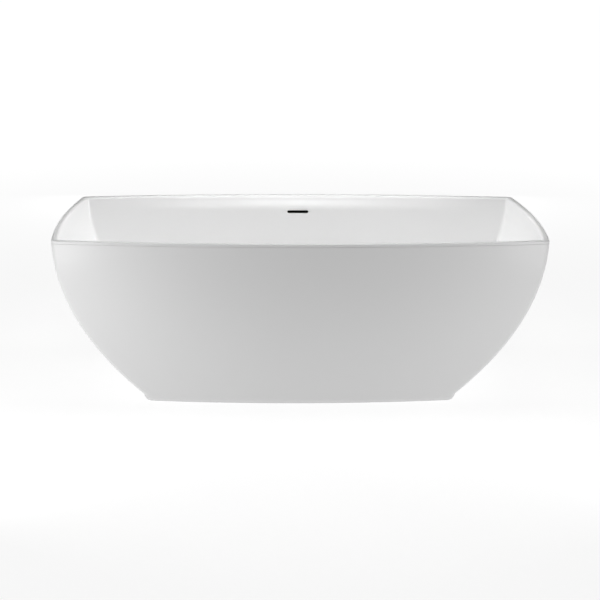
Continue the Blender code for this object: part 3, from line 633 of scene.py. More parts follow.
def block(name, size, radius, at=(0, 0, 0), segments=3):
    """A box with rounded edges."""
    bm = bmesh.new()
    bmesh.ops.create_cube(bm, size=1, matrix=Matrix.Translation(at) @ Matrix.Diagonal((*size, 1)))
    bmesh.ops.bevel(bm, geom=bm.edges, offset=radius, segments=segments, profile=0.5, affect="EDGES")
    return finished(bm, name)


def prism(name, outline, low, high, axis="Z", bevel=0.0, holes=()):
    """An outline, and any holes in it, carried along an axis, with its end edges cut back."""
    levels = [(low, 0.0), (high, 0.0)]
    if bevel:
        levels = [(low, bevel), (low + bevel, 0.0), (high - bevel, 0.0), (high, bevel)]
    points, faces = [], []
    loops = []
    for k, shape in enumerate((outline, *holes)):
        grow = -1 if k == 0 else 1
        sections = []
        for level, inset in levels:
            row = offset_outline(shape, grow * inset)
            sections.append([len(points) + i for i in range(len(row))])
            points += [along_axis(p, level, axis) for p in row]
        for lower, upper in zip(sections, sections[1:]):
            for i in range(len(lower)):
                j = (i + 1) % len(lower)
                faces.append((lower[i], lower[j], upper[j], upper[i]))
        loops.append(sections)
    bm = bmesh.new()
    verts = [bm.verts.new(p) for p in points]
    for face in faces:
        bm.faces.new([verts[i] for i in face])
    for end in (0, -1):
        edges = []
        for sections in loops:
            row = sections[end]
            for i in range(len(row)):
                edges.append(bm.edges.get((verts[row[i]], verts[row[(i + 1) % len(row)]])))
        bmesh.ops.triangle_fill(bm, use_beauty=True, use_dissolve=False, edges=edges)
    bmesh.ops.recalc_face_normals(bm, faces=bm.faces)
    return finished(bm, name)


def along_axis(point, level, axis):
    if axis == "X":
        return (level, point[0], point[1])
    if axis == "Y":
        return (point[0], level, point[1])
    return (point[0], point[1], level)


def offset_outline(points, distance):
    """The closed outline moved outwards by distance along its own normals."""
    if not distance:
        return [tuple(p) for p in points]
    count = len(points)
    pairs = zip(points, [*points[1:], points[0]])
    side = 1 if sum(a[0] * b[1] - b[0] * a[1] for a, b in pairs) > 0 else -1
    made = []
    for i in range(count):
        here = Vector(points[i])
        before, after = here - Vector(points[i - 1]), Vector(points[(i + 1) % count]) - here
        normal = Vector((before.y, -before.x)).normalized() + Vector((after.y, -after.x)).normalized()
        length = max(normal.length_squared / 2, 0.3)
        made.append(tuple(here + normal * (side * distance / length)))
    return made


def round_rectangle(width, height, radius, steps=5, at=(0, 0)):
    points = []
    for cx, cy, start in ((1, 1, 0), (-1, 1, 90), (-1, -1, 180), (1, -1, 270)):
        for i in range(steps + 1):
            angle = math.radians(start + 90 * i / steps)
            x = cx * (width / 2 - radius) + radius * math.cos(angle)
            y = cy * (height / 2 - radius) + radius * math.sin(angle)
            points.append((at[0] + x, at[1] + y))
    return points


def stadium(width, height, steps=12):
    return round_rectangle(width, height, height / 2 - 1e-6, steps)


def circle(radius, steps=32, at=(0, 0)):
    turns = [2 * math.pi * i / steps for i in range(steps)]
    return [(at[0] + radius * math.cos(turn), at[1] + radius * math.sin(turn)) for turn in turns]


def hexagon_nut(name, radius, height, bore=None, both_ends=True):
    """A chamfered hexagon, from -height up to 0, bored if bore is given."""
    flat = radius * math.cos(math.pi / 6)
    chamfer = radius - flat
    body = prism("hexagon", circle(radius, 6), -height, 0)
    low = chamfer * 0.55 if both_ends else 0.0
    cone = [
        (0, 0), (flat, 0), (radius + 0.0002, -chamfer * 0.55), (radius + 0.0002, -height + low),
        (flat if both_ends else radius + 0.0002, -height), (0, -height),
    ]
    barrel = lathe("barrel", cone, 48, closed=False, ease=0)
    mesh = carved(body, [barrel], "INTERSECT", 20)
    if bore:
        flare = 0.0006
        hole = [
            (0, 0.001), (bore + flare, 0.001), (bore + flare, 0), (bore, -flare * 1.2),
            (bore, -height + flare * 1.2), (bore + flare, -height), (bore + flare, -height - 0.001),
            (0, -height - 0.001),
        ]
        mesh = carved(mesh, [lathe("bore", hole, 40, closed=False, ease=0)], sharp=20)
    mesh.name = name
    return mesh


# Plan outlines, as in the CAD


def mix(low, high, share):
    return low + (high - low) * share


def shrink(plan, inset, corner):
    return plan._replace(
        half_length=plan.half_length - inset, half_width=plan.half_width - inset, corner=corner
    )


def outer_plan(z):
    if z < FOOT_LIP_HEIGHT:
        inset = FOOT_LIP_TAPER * (1 - z / FOOT_LIP_HEIGHT)
        foot = Plan(FOOT_HALF_LENGTH, FOOT_HALF_WIDTH, FOOT_END_BOW, FOOT_SIDE_BOW, FOOT_CORNER)
        return shrink(foot, inset, FOOT_CORNER)
    below_rim = (HEIGHT - z) / (HEIGHT - FOOT_LIP_HEIGHT)
    share = 1 - below_rim**2
    return Plan(
        mix(FOOT_HALF_LENGTH, RIM_HALF_LENGTH, share),
        mix(FOOT_HALF_WIDTH, RIM_HALF_WIDTH, share),
        mix(FOOT_END_BOW, RIM_END_BOW, share),
        mix(FOOT_SIDE_BOW, RIM_SIDE_BOW, share),
        mix(FOOT_CORNER, RIM_CORNER, share),
    )


def inner_plan(depth_share):
    z = mix(HEIGHT, FLOOR_EDGE_Z, depth_share)
    fillet = 1 - (1 - depth_share**WALL_POWER) ** (1 / WALL_POWER)
    inset = RIM_WIDTH + WALL_LEAN * depth_share + WALL_FILLET * fillet
    roll = min((HEIGHT - z) / ROLL_DEPTH, 1)
    straighter = ROLL_BOW * roll * roll * (3 - 2 * roll) + LOWER_BOW * depth_share
    corner = INNER_CORNER_TOP + INNER_CORNER_GROWTH * depth_share**2
    plan = shrink(outer_plan(z), inset, corner)
    return plan._replace(side_bow=plan.side_bow - straighter)


def arc_radius(half_chord, bow):
    return (half_chord**2 + bow**2) / (2 * bow)


def quarter_outline(plan):
    """Points from the middle of the front to the middle of the +X end."""
    side_r = arc_radius(plan.half_length, plan.side_bow)
    end_r = arc_radius(plan.half_width, plan.end_bow)
    side_centre = Vector((0, side_r - plan.half_width - plan.side_bow))
    end_centre = Vector((plan.half_length + plan.end_bow - end_r, 0))
    corner = crossing(side_centre, side_r - plan.corner, end_centre, end_r - plan.corner)
    side_angle = direction(side_centre, corner)
    end_angle = direction(end_centre, corner)
    points = arc(side_centre, side_r, -math.pi / 2, side_angle, SIDE_STEPS)
    points += arc(corner, plan.corner, side_angle, end_angle, CORNER_STEPS)[1:]
    points += arc(end_centre, end_r, end_angle, 0, END_STEPS)[1:]
    points[0].x = 0
    points[-1].y = 0
    return points


def crossing(centre_a, radius_a, centre_b, radius_b):
    apart = centre_b - centre_a
    distance = apart.length
    along = (distance**2 + radius_a**2 - radius_b**2) / (2 * distance)
    off = math.sqrt(radius_a**2 - along**2)
    unit = apart / distance
    across = Vector((-unit.y, unit.x))
    crossings = [centre_a + unit * along + across * off * side for side in (1, -1)]
    return max(crossings, key=lambda point: point.x - point.y)


def direction(start, end):
    return math.atan2(end.y - start.y, end.x - start.x)


def arc(centre, radius, start, end, steps):
    angles = [mix(start, end, i / steps) for i in range(steps + 1)]
    return [centre + Vector((math.cos(a), math.sin(a))) * radius for a in angles]


def level(plan, z):
    """The whole outline at a height, anticlockwise from the middle of the front."""
    quarter = quarter_outline(plan)
    right = quarter + [Vector((p.x, -p.y)) for p in reversed(quarter[:-1])]
    left = [Vector((-p.x, p.y)) for p in reversed(right[1:-1])]
    return np.array([(p.x, p.y, z) for p in right + left])


# Shells


def hidden_side(rows):
    """The rows moved in through the sheet, along the surface's own normals."""
    grid = np.array(rows)
    around = np.roll(grid, -1, axis=1) - np.roll(grid, 1, axis=1)
    down = np.gradient(grid, axis=0)
    normals = np.cross(around, down)
    normals /= np.linalg.norm(normals, axis=2, keepdims=True)
    return list(grid - normals * SHEET)


def shell_mesh(name, shown, hidden):
    """A closed sheet through the shown rows and back along the hidden ones."""
    rows = np.array(list(shown) + list(hidden))
    count, around = rows.shape[:2]
    indices = [int(len(shown) <= i < count - 1) for i in range(count) for _ in range(around)]
    return to_mesh(name, rows.reshape(-1, 3), loft(count, around, True), 34, indices)


def rounding(radius, start, end, steps=6):
    """(across, along) shares of an edge radius between two angles in degrees."""
    for i in range(steps + 1):
        angle = math.radians(mix(start, end, i / steps))
        yield radius * (1 - math.cos(angle)), radius * (1 - math.sin(angle))


def basin_mesh():
    rim = outer_plan(HEIGHT)
    lip = outer_plan(LIP_BOTTOM)
    shown = []
    for across, along in rounding(EASED, -90, 0, 3):
        shown.append(level(shrink(lip, across, RIM_CORNER - across), LIP_BOTTOM - EASED + along))
    shown.append(level(outer_plan(HEIGHT - RIM_EDGE - 0.0004), HEIGHT - RIM_EDGE - 0.0004))
    for across, along in rounding(RIM_EDGE, 0, 90):
        shown.append(level(shrink(rim, across, RIM_CORNER - across), HEIGHT - along))
    for share in (0.04, 0.35, 0.65, 0.96):
        inset = mix(RIM_EDGE, RIM_WIDTH - INNER_EDGE, share)
        corner = mix(RIM_CORNER - RIM_EDGE, INNER_CORNER_TOP, share)
        shown.append(level(shrink(rim, inset, corner), HEIGHT))
    for across, along in rounding(INNER_EDGE, 90, 10, 9):
        shown.append(level(shrink(rim, RIM_WIDTH - across, INNER_CORNER_TOP), HEIGHT - along))

    upper = [0.0200] + [0.0085 * i for i in range(3, 17)] + [0.165, 0.20, 0.24, 0.29, 0.35, 0.41, 0.46]
    lower = [math.sin(math.radians(angle)) ** (2 / WALL_POWER) for angle in range(18, 91, 4)]
    walls = [level(inner_plan(depth), mix(HEIGHT, FLOOR_EDGE_Z, depth)) for depth in upper + lower]

    edge = walls[-1]
    turns = (np.arange(len(edge)) / (len(edge) // 4) - 1) * math.pi / 2
    across, along = DRAIN_HOLE_R * np.cos(turns), DRAIN_HOLE_R * np.sin(turns)
    hole = np.stack([across, along, np.full(len(edge), DRAIN_Z)], 1)
    for share in (0.03, 0.08, 0.15, 0.24, 0.34, 0.45, 0.56, 0.67, 0.78, 0.88, 0.95, 1.0):
        walls.append(edge * (1 - share) + hole * share)

    hidden = hidden_side(walls)[4:][::-1]
    hidden[0][:, 2] = DRAIN_Z - SHEET
    for across, along in rounding(0.0018, 0, 90, 3):
        inset = RIM_WIDTH - SHEET - across
        hidden.append(level(shrink(rim, inset, INNER_CORNER_TOP + SHEET), HEIGHT - SHEET - along))
    for across, along in rounding(0.0018, 90, 0, 3):
        inset = SHEET + across
        hidden.append(level(shrink(rim, inset, RIM_CORNER - inset), HEIGHT - SHEET - along))
    for across, along in rounding(EASED, 0, -90, 3):
        inset = SHEET - across
        hidden.append(level(shrink(lip, inset, RIM_CORNER - inset), LIP_BOTTOM - EASED + along))
    return shell_mesh("basin", shown + walls, hidden)


def slot_cutter():
    """The slot through the far wall, opening out into a small radius at the wall's face."""
    face = WALL_BACK_Y - SHEET
    sections = [
        (0.030, 0.0), (0.0016, 0.0), (0.0009, 0.0001), (0.0004, 0.0004), (0.0001, 0.0009),
        (-0.0002, 0.0015), (-0.01, 0.0015),
    ]  # distance behind the face, growth of the outline
    slope = math.tan(OVERFLOW_TILT)
    points = []
    outline = stadium(SLOT_WIDTH, SLOT_HEIGHT)
    for depth, grow in sections:
        for x, z in offset_outline(outline, grow):
            points.append((x, face + depth + z * slope, SLOT_Z + z))
    return to_mesh("slot", points, loft(len(sections), len(outline), False))


def skirt_mesh():
    top = LIP_BOTTOM - GAP
    foot = outer_plan(0)
    shown = []
    for inset in (BASE_FLANGE, 0.018, 0.012, FOOT_EDGE + 0.0006):
        shown.append(level(shrink(foot, inset, FOOT_CORNER - inset), 0))
    for across, along in rounding(FOOT_EDGE, 90, 0):
        shown.append(level(shrink(foot, across, FOOT_CORNER - across), along))
    for z in (0.010, 0.015, 0.020, 0.0238, 0.0247):
        shown.append(level(outer_plan(z), z))
    steps = 34
    for i in range(steps + 1):
        z = mix(FOOT_LIP_HEIGHT + 0.0003, top - EASED - 0.0003, (i / steps) ** 0.85)
        shown.append(level(outer_plan(z), z))
    for across, along in rounding(EASED, 0, 90, 4):
        plan = outer_plan(top)
        shown.append(level(shrink(plan, across, plan.corner - across), top - along))
    hidden = hidden_side(shown[:-4])[::-1]
    for row in hidden:
        row[:, 2] = np.minimum(np.maximum(row[:, 2], SHEET), top - 0.0008)
    return shell_mesh("skirt", shown, hidden)


def shells():
    piece("basin_shell", carved(basin_mesh(), [slot_cutter()], sharp=34), "acrylic", second="fibreglass")
    piece("outer_skirt", skirt_mesh(), "acrylic", second="fibreglass")


# Overflow


def overflow_turn():
    return Matrix.Rotation(-OVERFLOW_TILT, 3, "X").to_quaternion()


def overflow_point(z):
    turn = Matrix.Rotation(-OVERFLOW_TILT, 3, "X")
    return turn @ Vector((0, SPIGOT_Y, z)) + Vector((0, WALL_BACK_Y, SLOT_Z))


def overflow_liner():
    """The sleeve in the slot: its front edge is rounded and lies just inside the wall's face."""
    width, height = SLOT_WIDTH - 2 * GAP, SLOT_HEIGHT - 2 * GAP
    slope = math.tan(OVERFLOW_TILT)
    front, back = WALL_BACK_Y - SHEET + 0.0012, WALL_BACK_Y + LINER_PROUD
    wall = LINER_WALL
    section = [
        (back, 0.0), (front + 0.0005, 0.0), (front + 0.0001, -0.0002), (front, -wall / 2),
        (front + 0.0001, -wall + 0.0002), (front + 0.0005, -wall), (back, -wall),
    ]
    outline = stadium(width, height)
    points = []
    for y, grow in section:
        for x, z in offset_outline(outline, grow):
            lean = z * slope if y < WALL_BACK_Y else 0.0
            points.append((x, y + lean, SLOT_Z + z))
    faces = loft(len(section), len(outline), True)
    piece("overflow_liner", to_mesh("liner", points, faces), "black_plastic")


def overflow_gasket():
    hole = stadium(SLOT_WIDTH + 0.004, SLOT_HEIGHT + 0.004)
    mesh = prism("gasket", stadium(0.104, 0.028), 0.0010, 0.0037, "Y", 0.0004, [hole])
    piece("overflow_gasket", mesh, "rubber", (0, WALL_BACK_Y, SLOT_Z), overflow_turn())


def barbed(radius, bore, start, end, barbs=3):
    """A hose spigot's profile from its root at start to its tip at end, along +Z or down."""
    sign = 1 if end > start else -1
    length = abs(end - start)
    outer = [(radius, start)]
    for i in range(barbs):
        along = length * (0.25 + 0.22 * i)
        outer += [(radius, start + sign * along), (radius + 0.0007, start + sign * (along + 0.0004)),
                  (radius, start + sign * (along + 0.0036))]
    outer += [(radius, end - sign * 0.001), (radius - 0.0007, end)]
    return outer + [(bore, end), (bore, start)]


def overflow_chamber():
    """A moulded box behind the slot: ribs on its back and a barbed spigot below."""
    middle_y = CHAMBER_FRONT + CHAMBER_DEPTH / 2
    middle_z = (CHAMBER_ABOVE - CHAMBER_BELOW) / 2
    size = (2 * CHAMBER_HALF_WIDTH, CHAMBER_DEPTH - 0.0006, CHAMBER_ABOVE + CHAMBER_BELOW)
    case = block("case", size, 0.003, (0, middle_y - 0.0003, middle_z))
    wall = 2 * CHAMBER_WALL
    inside = block("inside", [edge - wall for edge in size], 0.0015, (0, middle_y - 0.0003, middle_z))
    mouth = stadium(SLOT_WIDTH + 0.002, SLOT_HEIGHT + 0.002)
    opening = prism("opening", mouth, CHAMBER_FRONT - 0.006, CHAMBER_FRONT + 0.006, "Y")
    bottom = -CHAMBER_BELOW
    spigot_bore = rod(SPIGOT_BORE_R, bottom - 0.006, bottom + 0.006, 32, (0, SPIGOT_Y, 0))
    case = carved(case, [inside, opening, spigot_bore])
    spigot = lathe("spigot", barbed(SPIGOT_R, SPIGOT_BORE_R, bottom + 0.0005, bottom - SPIGOT_LENGTH), 40)
    moved(spigot, (0, SPIGOT_Y, 0))
    back = CHAMBER_FRONT + CHAMBER_DEPTH
    ribs = [
        block("rib", (0.0016, 0.0010, 0.062), 0.0004, (x, back - 0.0007, middle_z), 2)
        for x in (-0.042, -0.021, 0, 0.021, 0.042)
    ]
    ribs += [
        block("rib", (0.104, 0.0010, 0.0016), 0.0004, (0, back - 0.0007, z), 2)
        for z in (-0.045, -0.021, 0.003)
    ]
    mesh = merged("chamber", case, spigot, *ribs)
    piece("overflow_chamber", mesh, "black_plastic", (0, WALL_BACK_Y, SLOT_Z), overflow_turn())


def catmull_rom(points, steps):
    padded = [points[0] * 2 - points[1], *points, points[-1] * 2 - points[-2]]
    curve = []
    for i in range(1, len(padded) - 2):
        before, start, end, after = padded[i - 1 : i + 3]
        for j in range(steps):
            t = j / steps
            curve.append(
                (2 * start + (end - before) * t + (2 * before - 5 * start + 4 * end - after) * t**2
                 + (3 * start - before - 3 * end + after) * t**3) / 2
            )
    return curve + [points[-1]]


def hose_route():
    top = [overflow_point(-CHAMBER_BELOW - reach) for reach in (0.003, 0.014, 0.025, 0.036)]
    down = [(0.3655, 0.385), (0.349, 0.310), (0.329, 0.230), (0.304, 0.148)]
    under = [(0.280, 0.100), (0.238, 0.071), (0.180, BRANCH_Z), (0.100, BRANCH_Z)]
    ends = [(0.070, BRANCH_Z), (TEE_R + 0.012, BRANCH_Z)]
    return top + [Vector((0, y, z)) for y, z in down + under + ends]


def resampled(points, step):
    """Points a fixed step apart along a polyline, with the distance of each."""
    spans = [(b - a).length for a, b in zip(points, points[1:])]
    total = sum(spans)
    count = round(total / step)
    made, index, passed = [], 0, 0.0
    for i in range(count + 1):
        target = total * i / count
        while index < len(spans) - 1 and passed + spans[index] < target:
            passed += spans[index]
            index += 1
        share = (target - passed) / spans[index]
        made.append((points[index].lerp(points[index + 1], share), target))
    return made, total


def swept(name, rings_at, steps, closed=False, sharp=60):
    """A tube through rings (centre, direction, radius), carried along without twist."""
    points = []
    side = None
    for centre, forward, radius in rings_at:
        if side is None:
            side = forward.orthogonal().normalized()
        side = (side - forward * side.dot(forward)).normalized()
        other = forward.cross(side)
        for i in range(steps):
            angle = 2 * math.pi * i / steps
            points.append(centre + (side * math.cos(angle) + other * math.sin(angle)) * radius)
    return to_mesh(name, points, loft(len(rings_at), steps, closed), sharp)


def overflow_hose():
    """Corrugated hose with a plain cuff at each end, where its clamps sit."""
    pitch, samples, cuff = 0.0042, 6, 0.020
    line, total = resampled(catmull_rom(hose_route(), 12), pitch / samples)
    outside, inside = [], []
    for i, (here, along) in enumerate(line):
        before, after = line[max(i - 1, 0)][0], line[min(i + 1, len(line) - 1)][0]
        forward = (after - before).normalized()
        edge = min(along, total - along)
        depth = 0.0015 * min(max((edge - cuff) / 0.004, 0), 1)
        wave = 0.5 - 0.5 * math.cos(2 * math.pi * along / pitch)
        radius = HOSE_R - 0.0001 - depth * wave
        if edge < 0.0004:
            radius = HOSE_R - 0.0005
        outside.append((here, forward, radius))
        if i % 6 == 0 or i == len(line) - 1:
            inside.append((here, forward, HOSE_BORE_R))
    piece("overflow_hose", swept("hose", outside + inside[::-1], 24, closed=True, sharp=75), "grey_hose")


def hose_clamps():
    """Worm-drive clamps: a slotted band, the screw's housing and the screw."""
    inner = HOSE_R + GAP
    thick, half = 0.0008, 0.0045
    band = lathe("band", ring(inner, inner + thick, -half, half), 64, ease=0.0003)
    notches = []
    for i in range(26):
        angle = math.radians(28 + i * 11.7)
        notch = block("notch", (0.002, 0.0009, 0.0052), 0.0002, segments=1)
        moved(notch, (0, 0, 0), Matrix.Rotation(math.radians(14), 3, "X"))
        moved(notch, (inner + thick + 0.0006, 0, 0))
        notches.append(moved(notch, (0, 0, 0), Matrix.Rotation(angle, 3, "Z")))
    band = carved(band, [merged("notches", *notches)])
    housing = block("housing", (0.0050, 0.0095, 0.0078), 0.0007, (inner + thick + 0.0019, 0, 0))
    screw = helix_thread("worm", 0.0017, 0.0005, 0.0012, -0.0045, 0.0045, 16)
    moved(screw, (inner + thick + 0.0026, 0, 0), Matrix.Rotation(math.radians(90), 3, "X"))
    head = hexagon_nut("head", 0.0026, 0.0012)
    head = carved(head, [block("slot", (0.0058, 0.0007, 0.0010), 0.0001)], sharp=20)
    moved(head, (inner + thick + 0.0022, -0.0038, 0), Matrix.Rotation(math.radians(90), 3, "X"))
    mesh = merged("clamp", band, housing, screw, head)
    down = (overflow_point(-1) - overflow_point(0)).normalized()
    for node, place, axis in (
        ("hose_clamp_top", overflow_point(-CHAMBER_BELOW - 0.013), down),
        ("hose_clamp_bottom", Vector((0, 0.052, BRANCH_Z)), Vector((0, 1, 0))),
    ):
        piece(node, mesh, "zinc", place, Vector((0, 0, 1)).rotation_difference(axis))


# Base frame


def base_board():
    outline = round_rectangle(BOARD_SIZE[0], BOARD_SIZE[1], 0.003, 3)
    hole = circle(BOARD_HOLE_R, 64)
    mesh = prism("board", outline, BOARD_TOP - BOARD_SIZE[2], BOARD_TOP, "Z", 0.0008, [hole])
    radius = SCREW_R + GAP
    profile = [(0, 0.1205), (radius, 0.1190), (radius, 0.100), (0, 0.100)]
    places = corners_at(SCREW_X, RAIL_Y)
    pilots = [moved(lathe("pilot", profile, 16, False, 0), (x, y, 0)) for x, y in places]
    piece("base_board", carved(mesh, pilots), "board")


def corners_at(x, y):
    """Four places, counted round from front left."""
    return [(-x, -y), (x, -y), (x, y), (-x, y)]


def square_tube(name, length, axis, at, holes):
    """Rolled square tube with its seam weld inside, and holes (place, radius, low, high) bored along Z."""
    outer = round_rectangle(TUBE, TUBE, 0.0030, 5)
    inner = round_rectangle(TUBE - 2 * TUBE_WALL, TUBE - 2 * TUBE_WALL, 0.0016, 5)
    tube = prism(name, outer, -length / 2, length / 2, axis, 0.0002, [inner])
    moved(tube, at)
    bores = []
    for place, radius, low, high in holes:
        bores.append(rod(radius, low, high, 24, (*place, 0)))
    tube = carved(tube, bores)
    seam = (0, 0.0048, -TUBE / 2 + TUBE_WALL) if axis == "X" else (0.0048, 0, -TUBE / 2 + TUBE_WALL)
    size = (length - 0.002, 0.0014, 0.0005) if axis == "X" else (0.0014, length - 0.002, 0.0005)
    weld = moved(block("weld", size, 0.0002, seam, 2), at)
    return merged(name, tube, weld)


def frame_tubes():
    for node, side in (("rail_front", -1), ("rail_back", 1)):
        holes = [((x, side * RAIL_Y), SCREW_R + HOLE_PLAY, 0.07, 0.13) for x in (-SCREW_X, SCREW_X)]
        holes += [
            ((x, side * RAIL_Y), BOLT_R + HOLE_PLAY, 0.07, RAIL_BOTTOM + 0.01) for x in (-CROSS_X, CROSS_X)
        ]
        mesh = square_tube(node, RAIL_LENGTH, "X", (0, side * RAIL_Y, RAIL_TOP - TUBE / 2), holes)
        piece(node, mesh, "galvanised")
    for node, side in (("cross_member_left", -1), ("cross_member_right", 1)):
        x = side * CROSS_X
        holes = [
            ((x, end * y), radius + HOLE_PLAY, 0.04, 0.10)
            for end in (-1, 1)
            for y, radius in ((FOOT_Y, STUD_R), (RAIL_Y, BOLT_R), (BRACKET_SCREW_Y, SCREW_R))
        ]
        mesh = square_tube(node, CROSS_LENGTH, "Y", (x, 0, CROSS_TOP - TUBE / 2), holes)
        piece(node, mesh, "galvanised")


def bracket_mesh():
    """A bent steel strip with a radius at each bend and rounded free corners."""
    high = CROSS_BOTTOM - GAP
    low = SHEET + GAP
    inner = CROSS_LENGTH / 2 - BRACKET_REACH
    toe, back = BRACKET_Y + BRACKET_FOOT, BRACKET_Y - BRACKET_THICK
    outside = [(inner, high), (BRACKET_Y, high), (BRACKET_Y, low + BRACKET_THICK), (toe, low + BRACKET_THICK)]
    inside = [(toe, low), (back, low), (back, high - BRACKET_THICK), (inner, high - BRACKET_THICK)]
    bends = eased(outside, 0.0030, closed=False, steps=5) + eased(inside, 0.0014, closed=False, steps=5)
    strip = prism("bracket", [tuple(p) for p in bends], -BRACKET_WIDTH / 2, BRACKET_WIDTH / 2, "X", 0.0003)
    hole = rod(SCREW_R + HOLE_PLAY, 0.04, 0.07, 20, (0, BRACKET_SCREW_Y, 0))
    slot = prism("slot", stadium(0.012, 0.0052), BRACKET_Y - 0.01, BRACKET_Y + 0.01, "Y")
    return carved(strip, [hole, moved(slot, (0, 0, 0.032))])


def pan_screw(name, length, head_r, head_height):
    """A cross-recess pan-head screw, its head below zero and its threaded shank above."""
    crown = [
        (0, 0), (head_r, 0), (head_r, -head_height * 0.42), (head_r * 0.72, -head_height * 0.85),
        (0, -head_height),
    ]
    head = lathe("head", crown, 32, closed=False, ease=head_height * 0.3)
    depth = head_height * 0.55
    arms = [
        block("arm", size, 0.00015, (0, 0, -head_height), 1)
        for size in ((head_r * 1.05, 0.0008, depth * 2), (0.0008, head_r * 1.05, depth * 2))
    ]
    head = carved(head, arms, sharp=28)
    shank = helix_thread("shank", SCREW_R, 0.0005, 0.0014, -0.0001, length - 0.003, 16)
    tip = [
        (0, length), (SCREW_R * 0.35, length - 0.0012), (SCREW_R - 0.0005, length - 0.0031),
        (0, length - 0.0034),
    ]
    return merged(name, head, shank, lathe("point", tip, 16, closed=False, ease=0))


def frame_hardware():
    bracket = bracket_mesh()
    high = CROSS_BOTTOM - GAP
    bracket_screw = pan_screw("bracket_screw", 0.010, 0.0042, 0.0028)
    board_screw = pan_screw("board_screw", BOARD_TOP - 0.0055 - RAIL_BOTTOM + GAP, 0.0045, 0.0033)
    bolt_head = moved(hexagon_nut("bolt_head", 0.0074, 0.0047), (0, 0, -0.0008))
    washer_face = lathe("washer_face", ring(0.001, 0.0062, -0.0009, 0), 32, ease=0.0002)
    bolt_shank = helix_thread("bolt_shank", BOLT_R, 0.0006, 0.00125, -0.0005, TUBE + 0.019, 20, tip=0.0008)
    bolt = merged("bolt", bolt_head, washer_face, bolt_shank, sharp=25)
    half_turn = Matrix.Rotation(math.pi, 3, "Z").to_quaternion()
    for i, (x, y) in enumerate(corners_at(1, 1), 1):
        turn = None if y > 0 else half_turn
        piece(f"skirt_bracket_{i}", bracket, "galvanised", (x * CROSS_X, 0, 0), turn)
        under = (x * CROSS_X, y * BRACKET_SCREW_Y, high - BRACKET_THICK - GAP)
        piece(f"bracket_screw_{i}", bracket_screw, "zinc", under)
        piece(f"board_screw_{i}", board_screw, "zinc", (x * SCREW_X, y * RAIL_Y, RAIL_BOTTOM - GAP))
        piece(f"frame_bolt_{i}", bolt, "zinc", (x * CROSS_X, y * RAIL_Y, high))


# Levelling feet


def grip(count, depth):
    """Vertical flutes round a turned piece."""

    def wave(angle, radius, z):
        return radius - depth * (0.5 - 0.5 * math.cos(count * angle)) ** 2

    return wave


def levelling_feet():
    flutes = grip(18, 0.0007)

    def pad_wave(angle, radius, z):
        return flutes(angle, radius, z) if radius > PAD_R - 0.0045 and 0.0012 < z < 0.0075 else radius

    groove = 0.0012
    under = [
        (0.0215, 0), (0.0205, groove), (0.0175, groove), (0.0165, 0),
        (0.0125, 0), (0.0115, groove), (0.0075, groove), (0.0065, 0),
    ]
    profile = [
        (0, PAD_HEIGHT), (0.012, PAD_HEIGHT), (0.017, PAD_HEIGHT - 0.001), (PAD_R - 0.002, 0.005),
        (PAD_R, 0.003), (PAD_R, 0.001), (PAD_R - 0.001, 0), *under, (0, 0),
    ]
    pad = lathe("pad", profile, 108, closed=False, ease=0.0005, wave=pad_wave)
    base = PAD_HEIGHT + GAP
    hexagon = moved(hexagon_nut("stud_hexagon", STUD_HEX_R, 0.008), (0, 0, 0.008))
    shaft = helix_thread("stud_thread", STUD_R, 0.0009, 0.00175, 0.006, STUD_TOP - base, 28, tip=0.0012)
    stud = merged("stud", hexagon, shaft, sharp=25)
    nut = hexagon_nut("lock_nut", STUD_HEX_R, LOCK_NUT_HEIGHT, STUD_R + GAP)
    for i, (x, y) in enumerate(corners_at(CROSS_X, FOOT_Y), 1):
        piece(f"foot_pad_{i}", pad, "rubber", (x, y, 0), body=f"foot_{i}")
        piece(f"foot_stud_{i}", stud, "zinc", (x, y, base), body=f"stud_{i}")
        piece(f"lock_nut_{i}", nut, "zinc", (x, y, CROSS_BOTTOM - GAP))


# Waste


def toothed(radius, depth, pitch, bottom, top):
    """Thread rings on a profile that runs down the outer side from top to bottom."""
    made = []
    z = top
    while z - pitch > bottom:
        made += [(radius - depth, z), (radius, z - pitch * 0.35), (radius, z - pitch * 0.6)]
        made.append((radius - depth, z - pitch * 0.95))
        z -= pitch
    return made


def drain_flange():
    seat, top = FLANGE_SEAT, FLANGE_SEAT + 0.002
    profile = [
        (FLANGE_R - 0.0008, top), (FLANGE_R, top - 0.0012), (FLANGE_R, seat), (THREAD_R, seat),
        (THREAD_R, seat - 0.003),
        *toothed(THREAD_R, 0.0009, 0.0023, THREAD_BOTTOM + 0.001, seat - 0.0035),
        (THREAD_R - 0.0005, THREAD_BOTTOM), (THREAD_BORE_R, THREAD_BOTTOM), (THREAD_BORE_R, seat - 0.004),
        (THREAD_BORE_R + 0.0022, seat), (THREAD_BORE_R + 0.0045, top),
    ]
    sleeve = lathe("flange", profile, 72, ease=0.0005)
    middle = (BRIDGE_BOTTOM + BRIDGE_TOP) / 2
    length, bar = 2 * THREAD_BORE_R + 0.0016, 0.004
    height = BRIDGE_TOP - BRIDGE_BOTTOM - 0.001
    bars = [
        block("bar", size, 0.0008, (0, 0, middle))
        for size in ((length, bar, height), (bar, length, height))
    ]
    hole_r = CARTRIDGE_R + GAP
    bars = [carved(mesh, [rod(hole_r, 0.08, 0.12, 40)]) for mesh in bars]
    hub = lathe("hub", ring(hole_r, 0.0085, BRIDGE_BOTTOM, BRIDGE_TOP), 48, ease=0.0006)
    piece("drain_flange", merged("drain_flange", sleeve, *bars, hub), "chrome")


